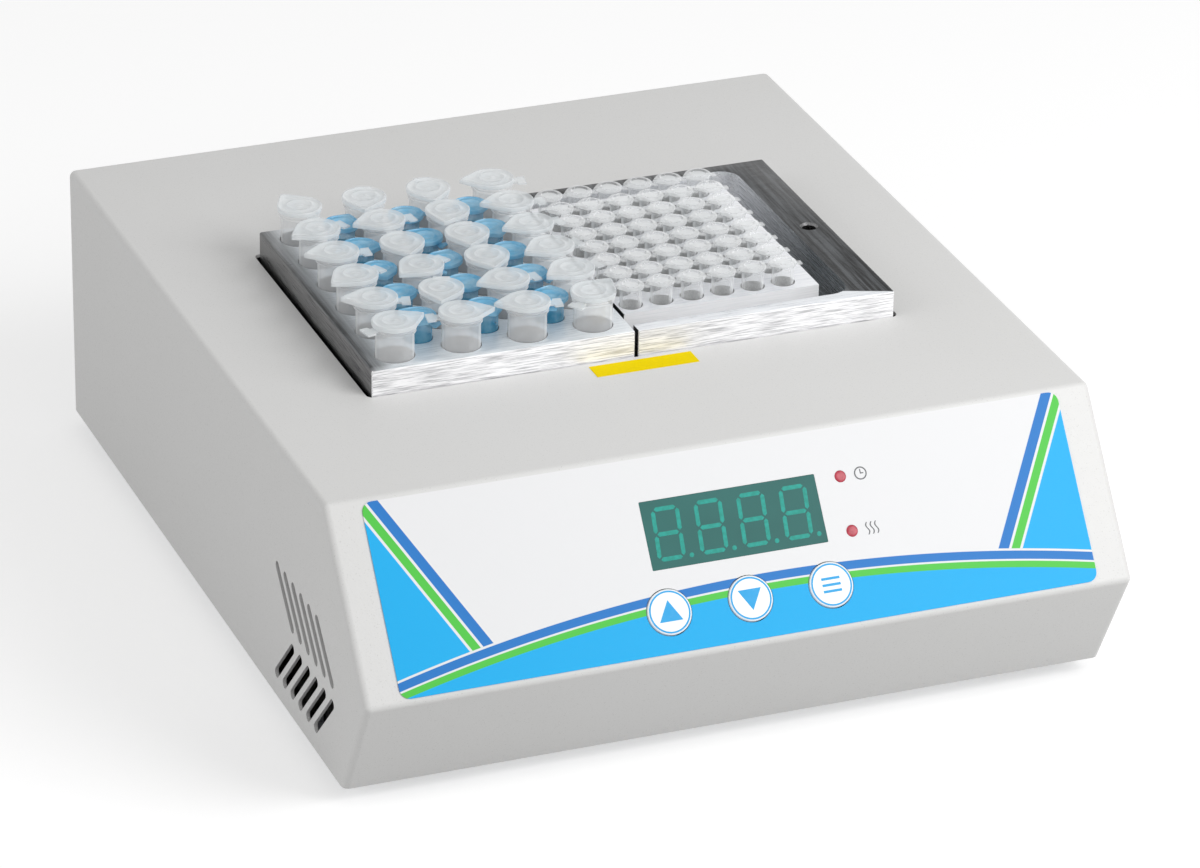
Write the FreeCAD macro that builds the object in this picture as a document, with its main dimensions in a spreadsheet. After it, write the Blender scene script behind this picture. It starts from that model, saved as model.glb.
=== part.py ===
import FreeCAD, Part
import Sketcher

import math
import os

# Two-block digital dry bath incubator, in millimetres.
# The front looks towards -Y, +Z is up, and the origin is on the bench, under the middle of
# the whole outline. Everything hangs on the sizes below.

Vector = FreeCAD.Vector
Rotation = FreeCAD.Rotation
Placement = FreeCAD.Placement

doc = FreeCAD.newDocument("DryBath")
sheet_of_sizes = doc.addObject("Spreadsheet::Sheet", "Sizes")
X_AXIS = Vector(1, 0, 0)
Y_AXIS = Vector(0, 1, 0)
Z_AXIS = Vector(0, 0, 1)


class Size:
    """A length kept twice: as a number, and as the formula that ties a feature to the sheet."""

    def __init__(self, number, formula=None):
        self.number = float(number)
        self.formula = formula if formula else f"({self.number})"

    def joined(self, number, sign, other):
        return Size(number, f"({self.formula} {sign} {other.formula})")

    def __add__(self, other):
        other = as_size(other)
        return self.joined(self.number + other.number, "+", other)

    def __sub__(self, other):
        other = as_size(other)
        return self.joined(self.number - other.number, "-", other)

    def __mul__(self, other):
        other = as_size(other)
        return self.joined(self.number * other.number, "*", other)

    def __truediv__(self, other):
        other = as_size(other)
        return self.joined(self.number / other.number, "/", other)

    def __radd__(self, other):
        return as_size(other) + self

    def __rsub__(self, other):
        return as_size(other) - self

    def __rmul__(self, other):
        return as_size(other) * self

    def __neg__(self):
        return as_size(0) - self

    def __float__(self):
        return self.number


def as_size(value):
    return value if isinstance(value, Size) else Size(value)


sheet_rows = []


def size(alias, number, meaning):
    """Write one driving dimension into the sheet and hand it back."""
    row = len(sheet_rows) + 1
    sheet_rows.append(alias)
    sheet_of_sizes.set(f"A{row}", meaning)
    sheet_of_sizes.set(f"B{row}", str(number))
    sheet_of_sizes.setAlias(f"B{row}", alias)
    return Size(number, f"Sizes.{alias}")


# Cabinet
cab_width = size("cab_width", 218, "width of the cabinet")
cab_height = size("cab_height", 76.5, "height of the cover, lower edge to deck")
deck_behind = size("deck_behind", 75.5, "level deck behind the blocks")
panel_run = size("panel_run", 33, "how far the sloping panel comes forward")
crease_height = size("crease_height", 32.5, "height of the lower crease over the cover's edge")
nose_undercut = size("nose_undercut", 18, "how far the nose turns back under the panel")
cover_sheet = size("cover_sheet", 1.2, "sheet of the cover")
bend = size("bend", 2.0, "outer radius of the cover's bends")
bend_inside = size("bend_inside", 0.8, "inner radius of the cover's bends")
foot_height = size("foot_height", 4.2, "height of a rubber foot")
foot_radius = size("foot_radius", 8, "radius of a rubber foot")
foot_inset = size("foot_inset", 20, "foot centre from the edges of the base plate")
base_sheet = size("base_sheet", 1.5, "thickness of the base plate")
base_show = size("base_show", 0.8, "how far the base plate shows under the cover")
base_gap = size("base_gap", 0.4, "gap round the base plate")
lip_width = size("lip_width", 11, "width of the turned-in lips of the cover")
fixing_inset = size("fixing_inset", 26, "first base screw from the ends of a lip")

# Blocks and the well they stand in
block_width = size("block_width", 75.5, "width of a block")
block_depth = size("block_depth", 95.5, "depth of a block")
block_height = size("block_height", 50.8, "height of a block")
block_show = size("block_show", 7.5, "how far the blocks stand over the deck")
block_gap = size("block_gap", 1.0, "slit between the two blocks")
block_setback = size("block_setback", 56, "front of the blocks from the top crease")
well_side_gap = size("well_side_gap", 1.3, "gap beside the blocks")
well_front_gap = size("well_front_gap", 0.5, "gap in front of the blocks")
well_back_gap = size("well_back_gap", 1.5, "gap behind the blocks")
well_corner = size("well_corner", 2.0, "corner radius of the deck opening")
block_edge = size("block_edge", 0.4, "chamfer on the top edges of a block")

# Left block: wells for large tubes, with small wells between them
tube_columns = 4
tube_rows = 6
tube_step_x = size("tube_step_x", 19, "large wells, step from left to right")
tube_step_y = size("tube_step_y", 15.9, "large wells, step from front to back")
tube_well_radius = size("tube_well_radius", 5.6, "radius of a large well")
tube_well_straight = size("tube_well_straight", 12, "straight part of a large well")
tube_well_seat = size("tube_well_seat", 19.5, "tapered seat of a large well")
tube_seat_foot = size("tube_seat_foot", 2.2, "radius at the foot of the large seat")
well_over = size("well_over", 5, "how far a well cutter stands over the block")
small_well_radius = size("small_well_radius", 4.1, "radius of a small well")
small_well_depth = size("small_well_depth", 24.5, "depth of a small well")
small_seat_foot = size("small_seat_foot", 1.4, "radius at the foot of a small well")

# Right block: half of a 96-well plate, one moat on three sides
plate_columns = 6
plate_rows = 8
plate_step = size("plate_step", 9.0, "step of the plate wells")
plate_well_radius = size("plate_well_radius", 3.4, "radius of a plate well")
plate_well_depth = size("plate_well_depth", 16.5, "depth of a plate well")
plate_seat_foot = size("plate_seat_foot", 0.8, "radius at the foot of a plate well")
island_width = size("island_width", 57.6, "width of the island that holds the wells")
island_inset = size("island_inset", 11, "island from the front and back of the block")
rim_end = size("rim_end", 4.0, "rim at the front and back of the moat")
rim_side = size("rim_side", 10.9, "rim at the side of the moat")
moat_depth = size("moat_depth", 15, "depth of the moat")
moat_corner = size("moat_corner", 5.5, "radius of the moat's corners")
gauge_radius = size("gauge_radius", 2.0, "radius of the thermometer bore")
gauge_depth = size("gauge_depth", 30, "depth of the thermometer bore")

# Tubes standing in the wells
fit_gap = size("fit_gap", 0.2, "clearance between a tube and its well")
large_lid_radius = size("large_lid_radius", 6.4, "radius of a large tube's lid")
large_lid_top = size("large_lid_top", 10.4, "large lid's top over the block")
large_lid_thick = size("large_lid_thick", 1.4, "thickness of a large lid")
large_beak = size("large_beak", 9.3, "reach of a large lid's beak")
large_tip_radius = size("large_tip_radius", 1.8, "radius of a large tube's tip")
large_tube_tip = size("large_tube_tip", 29, "large tube's tip under the block's top")
small_lid_radius = size("small_lid_radius", 5.2, "radius of a small tube's lid")
small_lid_top = size("small_lid_top", 7.0, "small lid's top over the block")
small_lid_thick = size("small_lid_thick", 1.6, "thickness of a small lid")
small_beak = size("small_beak", 6.4, "reach of a small lid's beak")
small_tip_radius = size("small_tip_radius", 1.2, "radius of a small tube's tip")
small_tube_tip = size("small_tube_tip", 23, "small tube's tip under the block's top")
plate_lid_radius = size("plate_lid_radius", 4.0, "radius of a plate tube's lid")
plate_lid_top = size("plate_lid_top", 6.5, "plate lid's top over the block")
plate_lid_thick = size("plate_lid_thick", 1.3, "thickness of a plate lid")
plate_tip_radius = size("plate_tip_radius", 0.7, "radius of a plate tube's tip")
plate_tube_tip = size("plate_tube_tip", 15, "plate tube's tip under the block's top")

# Heater under the blocks
liner_sheet = size("liner_sheet", 0.8, "sheet of the well liner")
heater_thick = size("heater_thick", 6, "thickness of the heater plate")
mat_thick = size("mat_thick", 1.6, "thickness of the heating mat")
mat_inset = size("mat_inset", 10, "heating mat from the edges of the heater plate")
soft_gap = size("soft_gap", 0.3, "gap round the insulation")
jacket_thick = size("jacket_thick", 8, "thickness of the insulation jacket")
post_radius = size("post_radius", 3.2, "corner radius of a hexagonal heater post")
post_inset = size("post_inset", 5, "post from the edges of the heater plate")
probe_radius = size("probe_radius", 1.5, "radius of the temperature probe")
probe_depth = size("probe_depth", 45, "how deep the probe goes into the heater plate")
probe_tail = size("probe_tail", 12, "how far the probe stands out of the plate")
probe_gap = size("probe_gap", 0.05, "clearance round the probe")
cutout_radius = size("cutout_radius", 8, "radius of the thermal cut-out")
cutout_height = size("cutout_height", 7, "height of the thermal cut-out")

# Control panel; "down" sizes run down the slope from the top crease
label_width = size("label_width", 198, "width of the panel label")
label_top = size("label_top", 1.1, "top edge of the label, down the slope")
label_bottom = size("label_bottom", 53.6, "lower edge of the label, down the slope")
label_thick = size("label_thick", 0.3, "thickness of the label")
label_corner = size("label_corner", 2.8, "corner radius of the label")
window_width = size("window_width", 50, "width of the display window")
window_height = size("window_height", 18.6, "height of the display window")
window_down = size("window_down", 22, "middle of the window, down the slope")
window_shift = size("window_shift", 0.6, "middle of the window, to the right")
display_play = size("display_play", 0.4, "gap round the display in the cover")
display_height = size("display_height", 8, "height of the display module")
display_rest = size("display_rest", 0.3, "display face behind the cover's outer face")
key_radius = size("key_radius", 6.2, "radius of a key")
key_step = size("key_step", 23, "step of the three keys")
key_down = size("key_down", 42.7, "keys, down the slope")
key_shift = size("key_shift", 0.7, "middle key, to the right")
key_play = size("key_play", 0.2, "gap round a key in the cover")
key_proud = size("key_proud", 0.5, "how far a key stands over the label")
key_flange = size("key_flange", 1.1, "width of the flange that keeps a key in")
key_flange_thick = size("key_flange_thick", 1.1, "thickness of a key's flange")
key_stem = size("key_stem", 3.2, "width of a key's stem")
key_travel = size("key_travel", 0.6, "travel of a key")
key_stop_gap = size("key_stop_gap", 0.15, "left under a key's stem when it is pressed")
switch_side = size("switch_side", 6, "width of a key switch")
switch_height = size("switch_height", 3.5, "height of a key switch")
lamp_radius = size("lamp_radius", 1.5, "radius of a status lamp")
lamp_play = size("lamp_play", 0.15, "gap round a lamp")
lamp_right = size("lamp_right", 32.8, "lamps, to the right")
lamp_down = size("lamp_down", 14.5, "upper lamp, down the slope")
lamp_step = size("lamp_step", 14.9, "step between the two lamps")
lamp_proud = size("lamp_proud", 0.1, "how far a lamp stands over the label")
board_thick = size("board_thick", 1.6, "thickness of the circuit boards")
control_left = size("control_left", 60, "control board, left of the middle")
control_right = size("control_right", 102, "control board, right of the middle")
control_top = size("control_top", 6, "control board's top edge, down the slope")
control_bottom = size("control_bottom", 50, "control board's lower edge, down the slope")
board_hole_inset = size("board_hole_inset", 4, "board fixings from the board's edges")
standoff_radius = size("standoff_radius", 2.6, "corner radius of a hexagonal standoff")

# Screws
screw_radius = size("screw_radius", 1.5, "radius of an M3 shank")
screw_head_radius = size("screw_head_radius", 2.8, "radius of a screw head")
screw_head_thick = size("screw_head_thick", 1.6, "thickness of a screw head")
screw_play = size("screw_play", 0.1, "clearance round a screw")

# Side vents: chevrons that point forwards
vent_count = 6
vent_step = size("vent_step", 6.5, "step of the vent slits")
vent_width = size("vent_width", 2.9, "width of a vent slit")
vent_first = size("vent_first", 188, "first slit's back end, from the back wall")
vent_nose = size("vent_nose", 13.5, "how far a slit runs forwards")
vent_high = size("vent_high", 40.0, "upper slits, top end over the cover's edge")
vent_upper_fall = size("vent_upper_fall", 12.8, "fall of an upper slit")
vent_trim = size("vent_trim", 0.83, "upper slits stop short of the chevron's ends")
vent_low = size("vent_low", 21, "lower slits, top end over the cover's edge")
vent_lower_fall = size("vent_lower_fall", 14, "fall of a lower slit")

# Power inlet, fuse drawer and switch in the back wall
rear_reach = size("rear_reach", 3.0, "how far the inlet's flange stands out at the back")
inlet_x = size("inlet_x", 62, "middle of the inlet, left of the middle")
rear_height = size("rear_height", 36, "inlet and switch over the cover's edge")
inlet_width = size("inlet_width", 27, "width of the inlet's housing")
inlet_height = size("inlet_height", 31, "height of the inlet's housing")
inlet_depth = size("inlet_depth", 25, "depth of the housing behind the wall")
inlet_flange_width = size("inlet_flange_width", 50, "width of the inlet's flange")
inlet_flange_side = size("inlet_flange_side", 1.6, "flange beyond the housing, above and below")
inlet_screw_step = size("inlet_screw_step", 40, "step of the inlet's two screws")
socket_width = size("socket_width", 24, "width of the socket's recess")
socket_height = size("socket_height", 16.4, "height of the socket's recess")
socket_depth = size("socket_depth", 18, "depth of the socket's recess")
socket_up = size("socket_up", 5.5, "middle of the recess over the middle of the inlet")
socket_cut = size("socket_cut", 4.6, "corner cuts of the recess")
pin_step = size("pin_step", 7, "side step of the contact blades")
pin_rise = size("pin_rise", 2, "earth blade over, others under the middle of the recess")
pin_thick = size("pin_thick", 2, "thickness of a contact blade")
pin_width = size("pin_width", 4, "width of a contact blade")
pin_reach = size("pin_reach", 14, "blade inside the recess")
pin_tail = size("pin_tail", 8, "blade behind the housing")
drawer_width = size("drawer_width", 23, "width of the fuse drawer")
drawer_height = size("drawer_height", 8, "height of the fuse drawer")
drawer_depth = size("drawer_depth", 25, "depth of the fuse drawer")
drawer_down = size("drawer_down", 9.5, "middle of the drawer under the middle of the inlet")
drawer_play = size("drawer_play", 0.2, "gap round the drawer")
drawer_wall = size("drawer_wall", 1.2, "wall of the drawer")
fuse_radius = size("fuse_radius", 2.6, "radius of a fuse")
fuse_length = size("fuse_length", 20, "length of a fuse")
fuse_step = size("fuse_step", 9, "step of the two fuses")
rocker_x = size("rocker_x", 24, "middle of the switch, left of the middle")
bezel_width = size("bezel_width", 15, "width of the switch's bezel")
bezel_height = size("bezel_height", 21, "height of the switch's bezel")
bezel_thick = size("bezel_thick", 2.0, "thickness of the bezel")
switch_body_width = size("switch_body_width", 12.8, "width of the switch behind the wall")
switch_body_height = size("switch_body_height", 19, "height of the switch behind the wall")
switch_body_depth = size("switch_body_depth", 14, "depth of the switch behind the wall")
panel_play = size("panel_play", 0.2, "gap round the inlet and the switch in the wall")
rocker_width = size("rocker_width", 9.6, "width of the rocker")
rocker_length = size("rocker_length", 15.4, "length of the rocker")
rocker_side_gap = size("rocker_side_gap", 0.3, "gap beside the rocker")
rocker_end_gap = size("rocker_end_gap", 0.7, "gap at the rocker's ends")
rocker_tilt = size("rocker_tilt", 9, "tilt of the rocker either way, degrees")
pivot_radius = size("pivot_radius", 1.2, "radius of the rocker's trunnions")
pivot_play = size("pivot_play", 0.05, "clearance round a trunnion")

# Power board behind the well
power_width = size("power_width", 110, "width of the power board")
power_depth = size("power_depth", 50, "depth of the power board")
power_reach = size("power_reach", 1.2, "how far the power board reaches over a side lip")
power_back = size("power_back", 6, "power board from the back wall's inner face")
power_standoff = size("power_standoff", 6, "height of the power board's standoffs")
ribbon_width = size("ribbon_width", 8, "width of the ribbon cable")
ribbon_thick = size("ribbon_thick", 1.0, "thickness of the ribbon cable")
lead_side = size("lead_side", 2.2, "thickness of a mains lead")

# Plain yellow strip on the deck, in front of the slit
strip_width = size("strip_width", 29.6, "width of the yellow strip")
strip_depth = size("strip_depth", 6.6, "depth of the yellow strip")
strip_thick = size("strip_thick", 0.15, "thickness of the yellow strip")
strip_gap = size("strip_gap", 2.4, "strip from the front of the blocks")

# Slopes of the panel and the nose, and how far the rounded lower crease falls back
panel_drop = cab_height - crease_height
panel_length = math.hypot(panel_run.number, panel_drop.number)
panel_angle = math.degrees(math.atan2(panel_drop.number, panel_run.number))
nose_length = math.hypot(nose_undercut.number, crease_height.number)
panel_normal = Vector(0, -panel_drop.number / panel_length, panel_run.number / panel_length)
nose_normal = Vector(0, -crease_height.number / nose_length, -nose_undercut.number / nose_length)
crease_ratio = -(panel_normal + nose_normal).y / (1 + panel_normal.dot(nose_normal))
crease_setback = bend * (crease_ratio - 1)

# Levels and lines that many pieces share
base_bottom = foot_height
base_top = foot_height + base_sheet
cover_edge = foot_height + base_show
deck_top = cover_edge + cab_height
deck_depth = block_setback + block_depth + deck_behind
rear_overhang = rear_reach + screw_head_thick
back_wall = (deck_depth + panel_run - crease_setback - rear_overhang) / 2
back_inside = back_wall - cover_sheet
top_crease = back_wall - deck_depth
lower_crease = top_crease - panel_run
nose_foot = lower_crease + nose_undercut
side_inside = cab_width / 2 - cover_sheet
block_top = deck_top + block_show
block_bottom = block_top - block_height
block_front = top_crease + block_setback
block_back = block_front + block_depth
left_block_left = -block_width - block_gap / 2
right_block_left = block_gap / 2
well_side = block_width + block_gap / 2 + well_side_gap
well_front = block_front - well_front_gap
well_back = block_back + well_back_gap
heater_bottom = block_bottom - heater_thick
mat_bottom = heater_bottom - mat_thick
plate_side = well_side + liner_sheet
plate_front = well_front - liner_sheet
plate_back = well_back + liner_sheet
board_face = -(display_height + display_rest)
board_back = board_face - board_thick
inlet_z = cover_edge + rear_height
power_bottom = base_top + power_standoff
power_top = power_bottom + board_thick
power_rear = back_inside - power_back
power_front = power_rear - power_depth
power_right = side_inside - lip_width + power_reach
power_left = power_right - power_width

nodes = []


def keep(feature, name):
    """Give a finished piece its name and put it on the list that is written out."""
    feature.Label = name
    nodes.append(feature)
    return feature


def bind(feature, **lengths):
    for prop, length in lengths.items():
        length = as_size(length)
        setattr(feature, prop, length.number)
        feature.setExpression(prop, length.formula)


def spot(x, y, z):
    return Vector(float(x), float(y), float(z))


def shifted(x=0, y=0, z=0):
    return Placement(spot(x, y, z), Rotation())


# Down the panel: X to the right, Y up the slope, Z outwards from the outer face of the cover
ON_PANEL = Placement(spot(0, top_crease, deck_top), Rotation(X_AXIS, panel_angle))


def new_body(name):
    body = doc.addObject("PartDesign::Body", name + "_body")
    return body


def origin_part(body, role):
    for feature in body.Origin.OriginFeatures:
        if feature.Role == role:
            return feature
    raise ValueError(role)


def sketch_on(body, role, offset=Placement()):
    sketch = body.newObject("Sketcher::SketchObject", "outline")
    sketch.AttachmentSupport = (origin_part(body, role), [""])
    sketch.MapMode = "FlatFace"
    sketch.AttachmentOffset = offset
    return sketch


def tie_point(sketch, item, end, x, y):
    """Hold one point of a sketch at x, y from the sketch's origin."""
    for kind, length in (("DistanceX", as_size(x)), ("DistanceY", as_size(y))):
        number = sketch.addConstraint(Sketcher.Constraint(kind, -1, 1, item, end, length.number))
        sketch.setExpression(f"Constraints[{number}]", length.formula)


def closed_outline(sketch, corners):
    """A closed polygon whose corners are tied one by one."""
    first = sketch.GeometryCount
    count = len(corners)
    points = [spot(x, y, 0) for x, y in corners]
    for i in range(count):
        sketch.addGeometry(Part.LineSegment(points[i], points[(i + 1) % count]))
    for i in range(count):
        sketch.addConstraint(Sketcher.Constraint("Coincident", first + i, 2, first + (i + 1) % count, 1))
    for i, (x, y) in enumerate(corners):
        tie_point(sketch, first + i, 1, x, y)


def box_outline(sketch, x_low, x_high, y_low, y_high):
    closed_outline(sketch, [(x_low, y_low), (x_high, y_low), (x_high, y_high), (x_low, y_high)])


def round_outline(sketch, x, y, radius):
    radius = as_size(radius)
    circle = sketch.addGeometry(Part.Circle(spot(x, y, 0), Z_AXIS, radius.number))
    tie_point(sketch, circle, 3, x, y)
    number = sketch.addConstraint(Sketcher.Constraint("Radius", circle, radius.number))
    sketch.setExpression(f"Constraints[{number}]", radius.formula)


def many_sided(x, y, radius, sides):
    """Corners of a regular polygon, flat sides towards the sketch's axes."""
    corners = []
    for i in range(sides):
        turn = 2 * math.pi * (i + 0.5) / sides
        corners.append((x + radius * math.cos(turn), y + radius * math.sin(turn)))
    return corners


def pad(body, sketch, length, reverse=False, taper=None, both_ways=False):
    feature = body.newObject("PartDesign::Pad", "pad")
    feature.Profile = sketch
    bind(feature, Length=length)
    feature.Reversed = reverse
    if taper is not None:
        bind(feature, TaperAngle=taper)
    if both_ways:
        feature.SideType = "Symmetric"
    return feature


def pocket(body, sketch, length, reverse=False, taper=None, both_ways=False):
    """Cut a sketch into the body, and make sure that the cut took something away."""
    doc.recompute()
    before = body.Shape.Volume
    feature = body.newObject("PartDesign::Pocket", "pocket")
    feature.Profile = sketch
    bind(feature, Length=length)
    feature.Reversed = reverse
    if taper is not None:
        bind(feature, TaperAngle=taper)
    if both_ways:
        feature.SideType = "Symmetric"
    doc.recompute()
    if body.Shape.isNull() or body.Shape.Volume > before - 1e-6:
        raise ValueError(f"a pocket in {body.Name} cuts nothing")
    return feature


def edge_names(body, wanted):
    names = []
    for number, edge in enumerate(body.Shape.Edges, 1):
        if wanted(edge):
            names.append(f"Edge{number}")
    return names


def fillet(body, radius, wanted):
    doc.recompute()
    base = body.Tip
    names = edge_names(body, wanted)
    feature = body.newObject("PartDesign::Fillet", "fillet")
    feature.Base = (base, names)
    bind(feature, Radius=radius)
    return feature


def chamfer(body, width, wanted):
    doc.recompute()
    base = body.Tip
    names = edge_names(body, wanted)
    feature = body.newObject("PartDesign::Chamfer", "chamfer")
    feature.Base = (base, names)
    bind(feature, Size=width)
    return feature


def runs_along(edge, axis):
    """True for a straight edge parallel to an axis."""
    if len(edge.Vertexes) < 2:
        return False
    step = edge.Vertexes[1].Point - edge.Vertexes[0].Point
    return abs(abs(step.dot(axis)) - edge.Length) < 1e-6


def slab(name, x_low, x_high, y_low, y_high, z_low, z_high):
    """A plain rectangular body between six tied planes."""
    body = new_body(name)
    outline = sketch_on(body, "XY_Plane", shifted(z=z_low))
    box_outline(outline, x_low, x_high, y_low, y_high)
    pad(body, outline, z_high - z_low)
    return body


def frame_ring(name, side, front, back, wall, z_low, z_high):
    """A four-sided wall: outer faces a wall's thickness outside the given inner faces."""
    body = new_body(name)
    outline = sketch_on(body, "XY_Plane", shifted(z=z_low))
    box_outline(outline, -side - wall, side + wall, front - wall, back + wall)
    box_outline(outline, -side, side, front, back)
    pad(body, outline, z_high - z_low)
    return body


def turned_to_flats(sides, level):
    """At the height level, with the flat sides towards the axes."""
    return Placement(spot(0, 0, level), Rotation(Z_AXIS, 180 / sides))


def prism(radius, height, sides, low=0):
    """A many-sided bar standing on the plane z = low."""
    bar = doc.addObject("Part::Prism", "bar")
    bar.Polygon = sides
    bind(bar, Circumradius=radius, Height=height)
    bar.Placement = turned_to_flats(sides, low)
    return bar


def fused(*pieces):
    joined = doc.addObject("Part::MultiFuse", "joined")
    joined.Shapes = list(pieces)
    return joined


def frustum(high_radius, low_radius, sides, high, low):
    """A many-sided bar that narrows from the plane z = high down to z = low, in flat faces."""
    rims = []
    for radius, level in ((high_radius, high), (low_radius, low)):
        rim = doc.addObject("Part::RegularPolygon", "rim")
        rim.Polygon = sides
        bind(rim, Circumradius=radius)
        rim.Placement = turned_to_flats(sides, level)
        rims.append(rim)
    bar = doc.addObject("Part::Loft", "frustum")
    bar.Sections = rims
    bar.Solid = True
    bar.Ruled = True
    bar.Linearize = True
    return bar


def spread(name, master, places):
    """Separate, identical solids: the master's shape set at each place."""
    doc.recompute()
    group = doc.addObject("Part::Feature", name + "_group")
    group.Shape = Part.Compound([master.Shape.transformed(place.toMatrix()) for place in places])
    return group


def copies(name, master, places):
    return keep(spread(name, master, places), name)


def make_top_cover():
    """One bent shell: back wall, deck, sloping panel, nose and two sides, open underneath."""
    body = new_body("top_cover")
    profile = sketch_on(body, "YZ_Plane")
    closed_outline(profile, [
        (back_wall, cover_edge), (back_wall, deck_top), (top_crease, deck_top),
        (lower_crease, cover_edge + crease_height), (nose_foot, cover_edge)])
    pad(body, profile, cab_width, both_ways=True)
    edge_level = cover_edge.number
    fillet(body, bend, lambda edge: edge.BoundBox.ZMax > edge_level + 1)

    # Inside faces, one sheet's thickness in, meeting where the offset planes meet
    deck_inside = deck_top - cover_sheet
    panel_shift = cover_sheet * math.tan(math.radians(panel_angle / 2))
    crease_inside_y = lower_crease + cover_sheet * crease_ratio
    crease_tilt = -(panel_normal + nose_normal).z / (1 + panel_normal.dot(nose_normal))
    crease_inside_z = cover_edge + crease_height + cover_sheet * crease_tilt
    nose_wall = cover_sheet * (nose_length / crease_height.number)
    cavity = sketch_on(body, "YZ_Plane")
    closed_outline(cavity, [
        (back_inside, cover_edge), (back_inside, deck_inside),
        (top_crease + panel_shift, deck_inside),
        (crease_inside_y, crease_inside_z), (nose_foot + nose_wall, cover_edge)])
    pocket(body, cavity, side_inside * 2, both_ways=True)
    inside_width = 2 * side_inside.number
    fillet(body, bend_inside, lambda edge: runs_along(edge, X_AXIS)
           and abs(edge.Length - inside_width) < 0.01
           and edge.BoundBox.ZMin > edge_level + 1)

    # Turned-in lips along both sides, which the base plate is screwed to
    for side in (-1, 1):
        lip = sketch_on(body, "XY_Plane", shifted(z=base_top))
        box_outline(lip, side * side_inside, side * (side_inside - lip_width),
                    nose_foot + lip_width, back_inside)
        pad(body, lip, cover_sheet)

    # Opening for the blocks
    opening = sketch_on(body, "XY_Plane", shifted(z=deck_top))
    box_outline(opening, -well_side, well_side, well_front, well_back)
    pocket(body, opening, cover_sheet * 2)
    deck_level = deck_inside.number
    fillet(body, well_corner, lambda edge: runs_along(edge, Z_AXIS)
           and edge.BoundBox.ZMin > deck_level - 0.01
           and abs(edge.BoundBox.XMin) < well_side.number + 0.01)

    # Openings in the sloping panel
    face = sketch_on(body, "XY_Plane", ON_PANEL)
    half_window = window_width / 2 + display_play
    box_outline(face, window_shift - half_window, window_shift + half_window,
                -window_down - window_height / 2 - display_play,
                -window_down + window_height / 2 + display_play)
    for x, y in key_places():
        closed_outline(face, many_sided(x, y, key_radius + key_play, 16))
    for x, y in lamp_places():
        closed_outline(face, many_sided(x, y, lamp_radius + lamp_play, 12))
    pocket(body, face, cover_sheet * 2)

    # Chevron vents through both sides: an upper and a lower slit, six times
    slits = sketch_on(body, "YZ_Plane")
    start = back_wall - vent_first
    slit_outline(slits, start - vent_trim, cover_edge + vent_high,
                 start - vent_nose + vent_trim, cover_edge + vent_high - vent_upper_fall)
    slit_outline(slits, start - vent_nose + vent_width / 4, cover_edge + vent_low,
                 start + vent_width / 4, cover_edge + vent_low - vent_lower_fall)
    cut = pocket(body, slits, cab_width, both_ways=True)
    vents = body.newObject("PartDesign::LinearPattern", "vents")
    vents.Originals = [cut]
    vents.Direction = (origin_part(body, "Y_Axis"), [""])
    vents.Reversed = True
    bind(vents, Length=vent_step * (vent_count - 1))
    vents.Occurrences = vent_count
    body.Tip = vents

    # Cut-outs in the back wall
    rear = sketch_on(body, "XZ_Plane", shifted(z=-back_wall))
    half_width = inlet_width / 2 + panel_play
    half_height = inlet_height / 2 + panel_play
    box_outline(rear, -inlet_x - half_width, -inlet_x + half_width,
                inlet_z - half_height, inlet_z + half_height)
    half_width = switch_body_width / 2 + panel_play
    half_height = switch_body_height / 2 + panel_play
    box_outline(rear, -rocker_x - half_width, -rocker_x + half_width,
                inlet_z - half_height, inlet_z + half_height)
    for side in (-1, 1):
        closed_outline(rear, many_sided(-inlet_x + side * inlet_screw_step / 2, inlet_z,
                                        screw_radius + screw_play, 6))
    pocket(body, rear, cover_sheet * 4, both_ways=True)

    # Screw holes in the lips
    holes = sketch_on(body, "XY_Plane", shifted(z=base_top))
    for x, y in lip_screw_places():
        closed_outline(holes, many_sided(x, y, screw_radius + screw_play, 6))
    pocket(body, holes, cover_sheet * 4, both_ways=True)
    keep(body, "top_cover")


def slit_outline(sketch, y_start, z_start, y_end, z_end):
    """A slit with rounded ends, each end in three short flats."""
    run_y = y_end.number - y_start.number
    run_z = z_end.number - z_start.number
    heading = math.atan2(run_z, run_y)
    radius = vent_width / 2
    corners = []
    for end, y, z in ((0, y_start, z_start), (1, y_end, z_end)):
        for i in range(4):
            turn = heading + math.pi / 2 - math.pi * end + math.pi * i / 3
            corners.append((y + radius * math.cos(turn), z + radius * math.sin(turn)))
    closed_outline(sketch, corners)


def key_places():
    return [(key_shift + key_step * i, -key_down) for i in (-1, 0, 1)]


def lamp_places():
    return [(lamp_right, -lamp_down), (lamp_right, -lamp_down - lamp_step)]


def lip_screw_places():
    """Three screws along each side lip."""
    x = side_inside - lip_width / 2
    first = nose_foot + lip_width + fixing_inset
    last = back_inside - fixing_inset
    return [(side * x, y) for side in (-1, 1) for y in (first, (first + last) / 2, last)]


def post_places():
    x = plate_side - post_inset
    return [(side * x, y) for side in (-1, 1) for y in (plate_front + post_inset, plate_back - post_inset)]


def make_base_plate():
    """Flat plate that closes the cover underneath, with holes for its screws."""
    side = side_inside - base_gap
    nose_wall = cover_sheet * (nose_length / crease_height.number)
    body = slab("base_plate", -side, side, nose_foot + nose_wall + base_gap,
                back_inside - base_gap, base_bottom, base_top)
    holes = sketch_on(body, "XY_Plane", shifted(z=base_top))
    for x, y in lip_screw_places() + post_places():
        closed_outline(holes, many_sided(x, y, screw_radius + screw_play, 6))
    pocket(body, holes, base_sheet * 2)
    keep(body, "base_plate")


def make_feet():
    foot = prism(foot_radius, foot_height, 16)
    x = side_inside - base_gap - foot_inset
    front = nose_foot + foot_inset
    back = back_inside - foot_inset
    places = [shifted(side * x, y) for side in (-1, 1) for y in (front, back)]
    copies("rubber_feet", foot, places)


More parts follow.
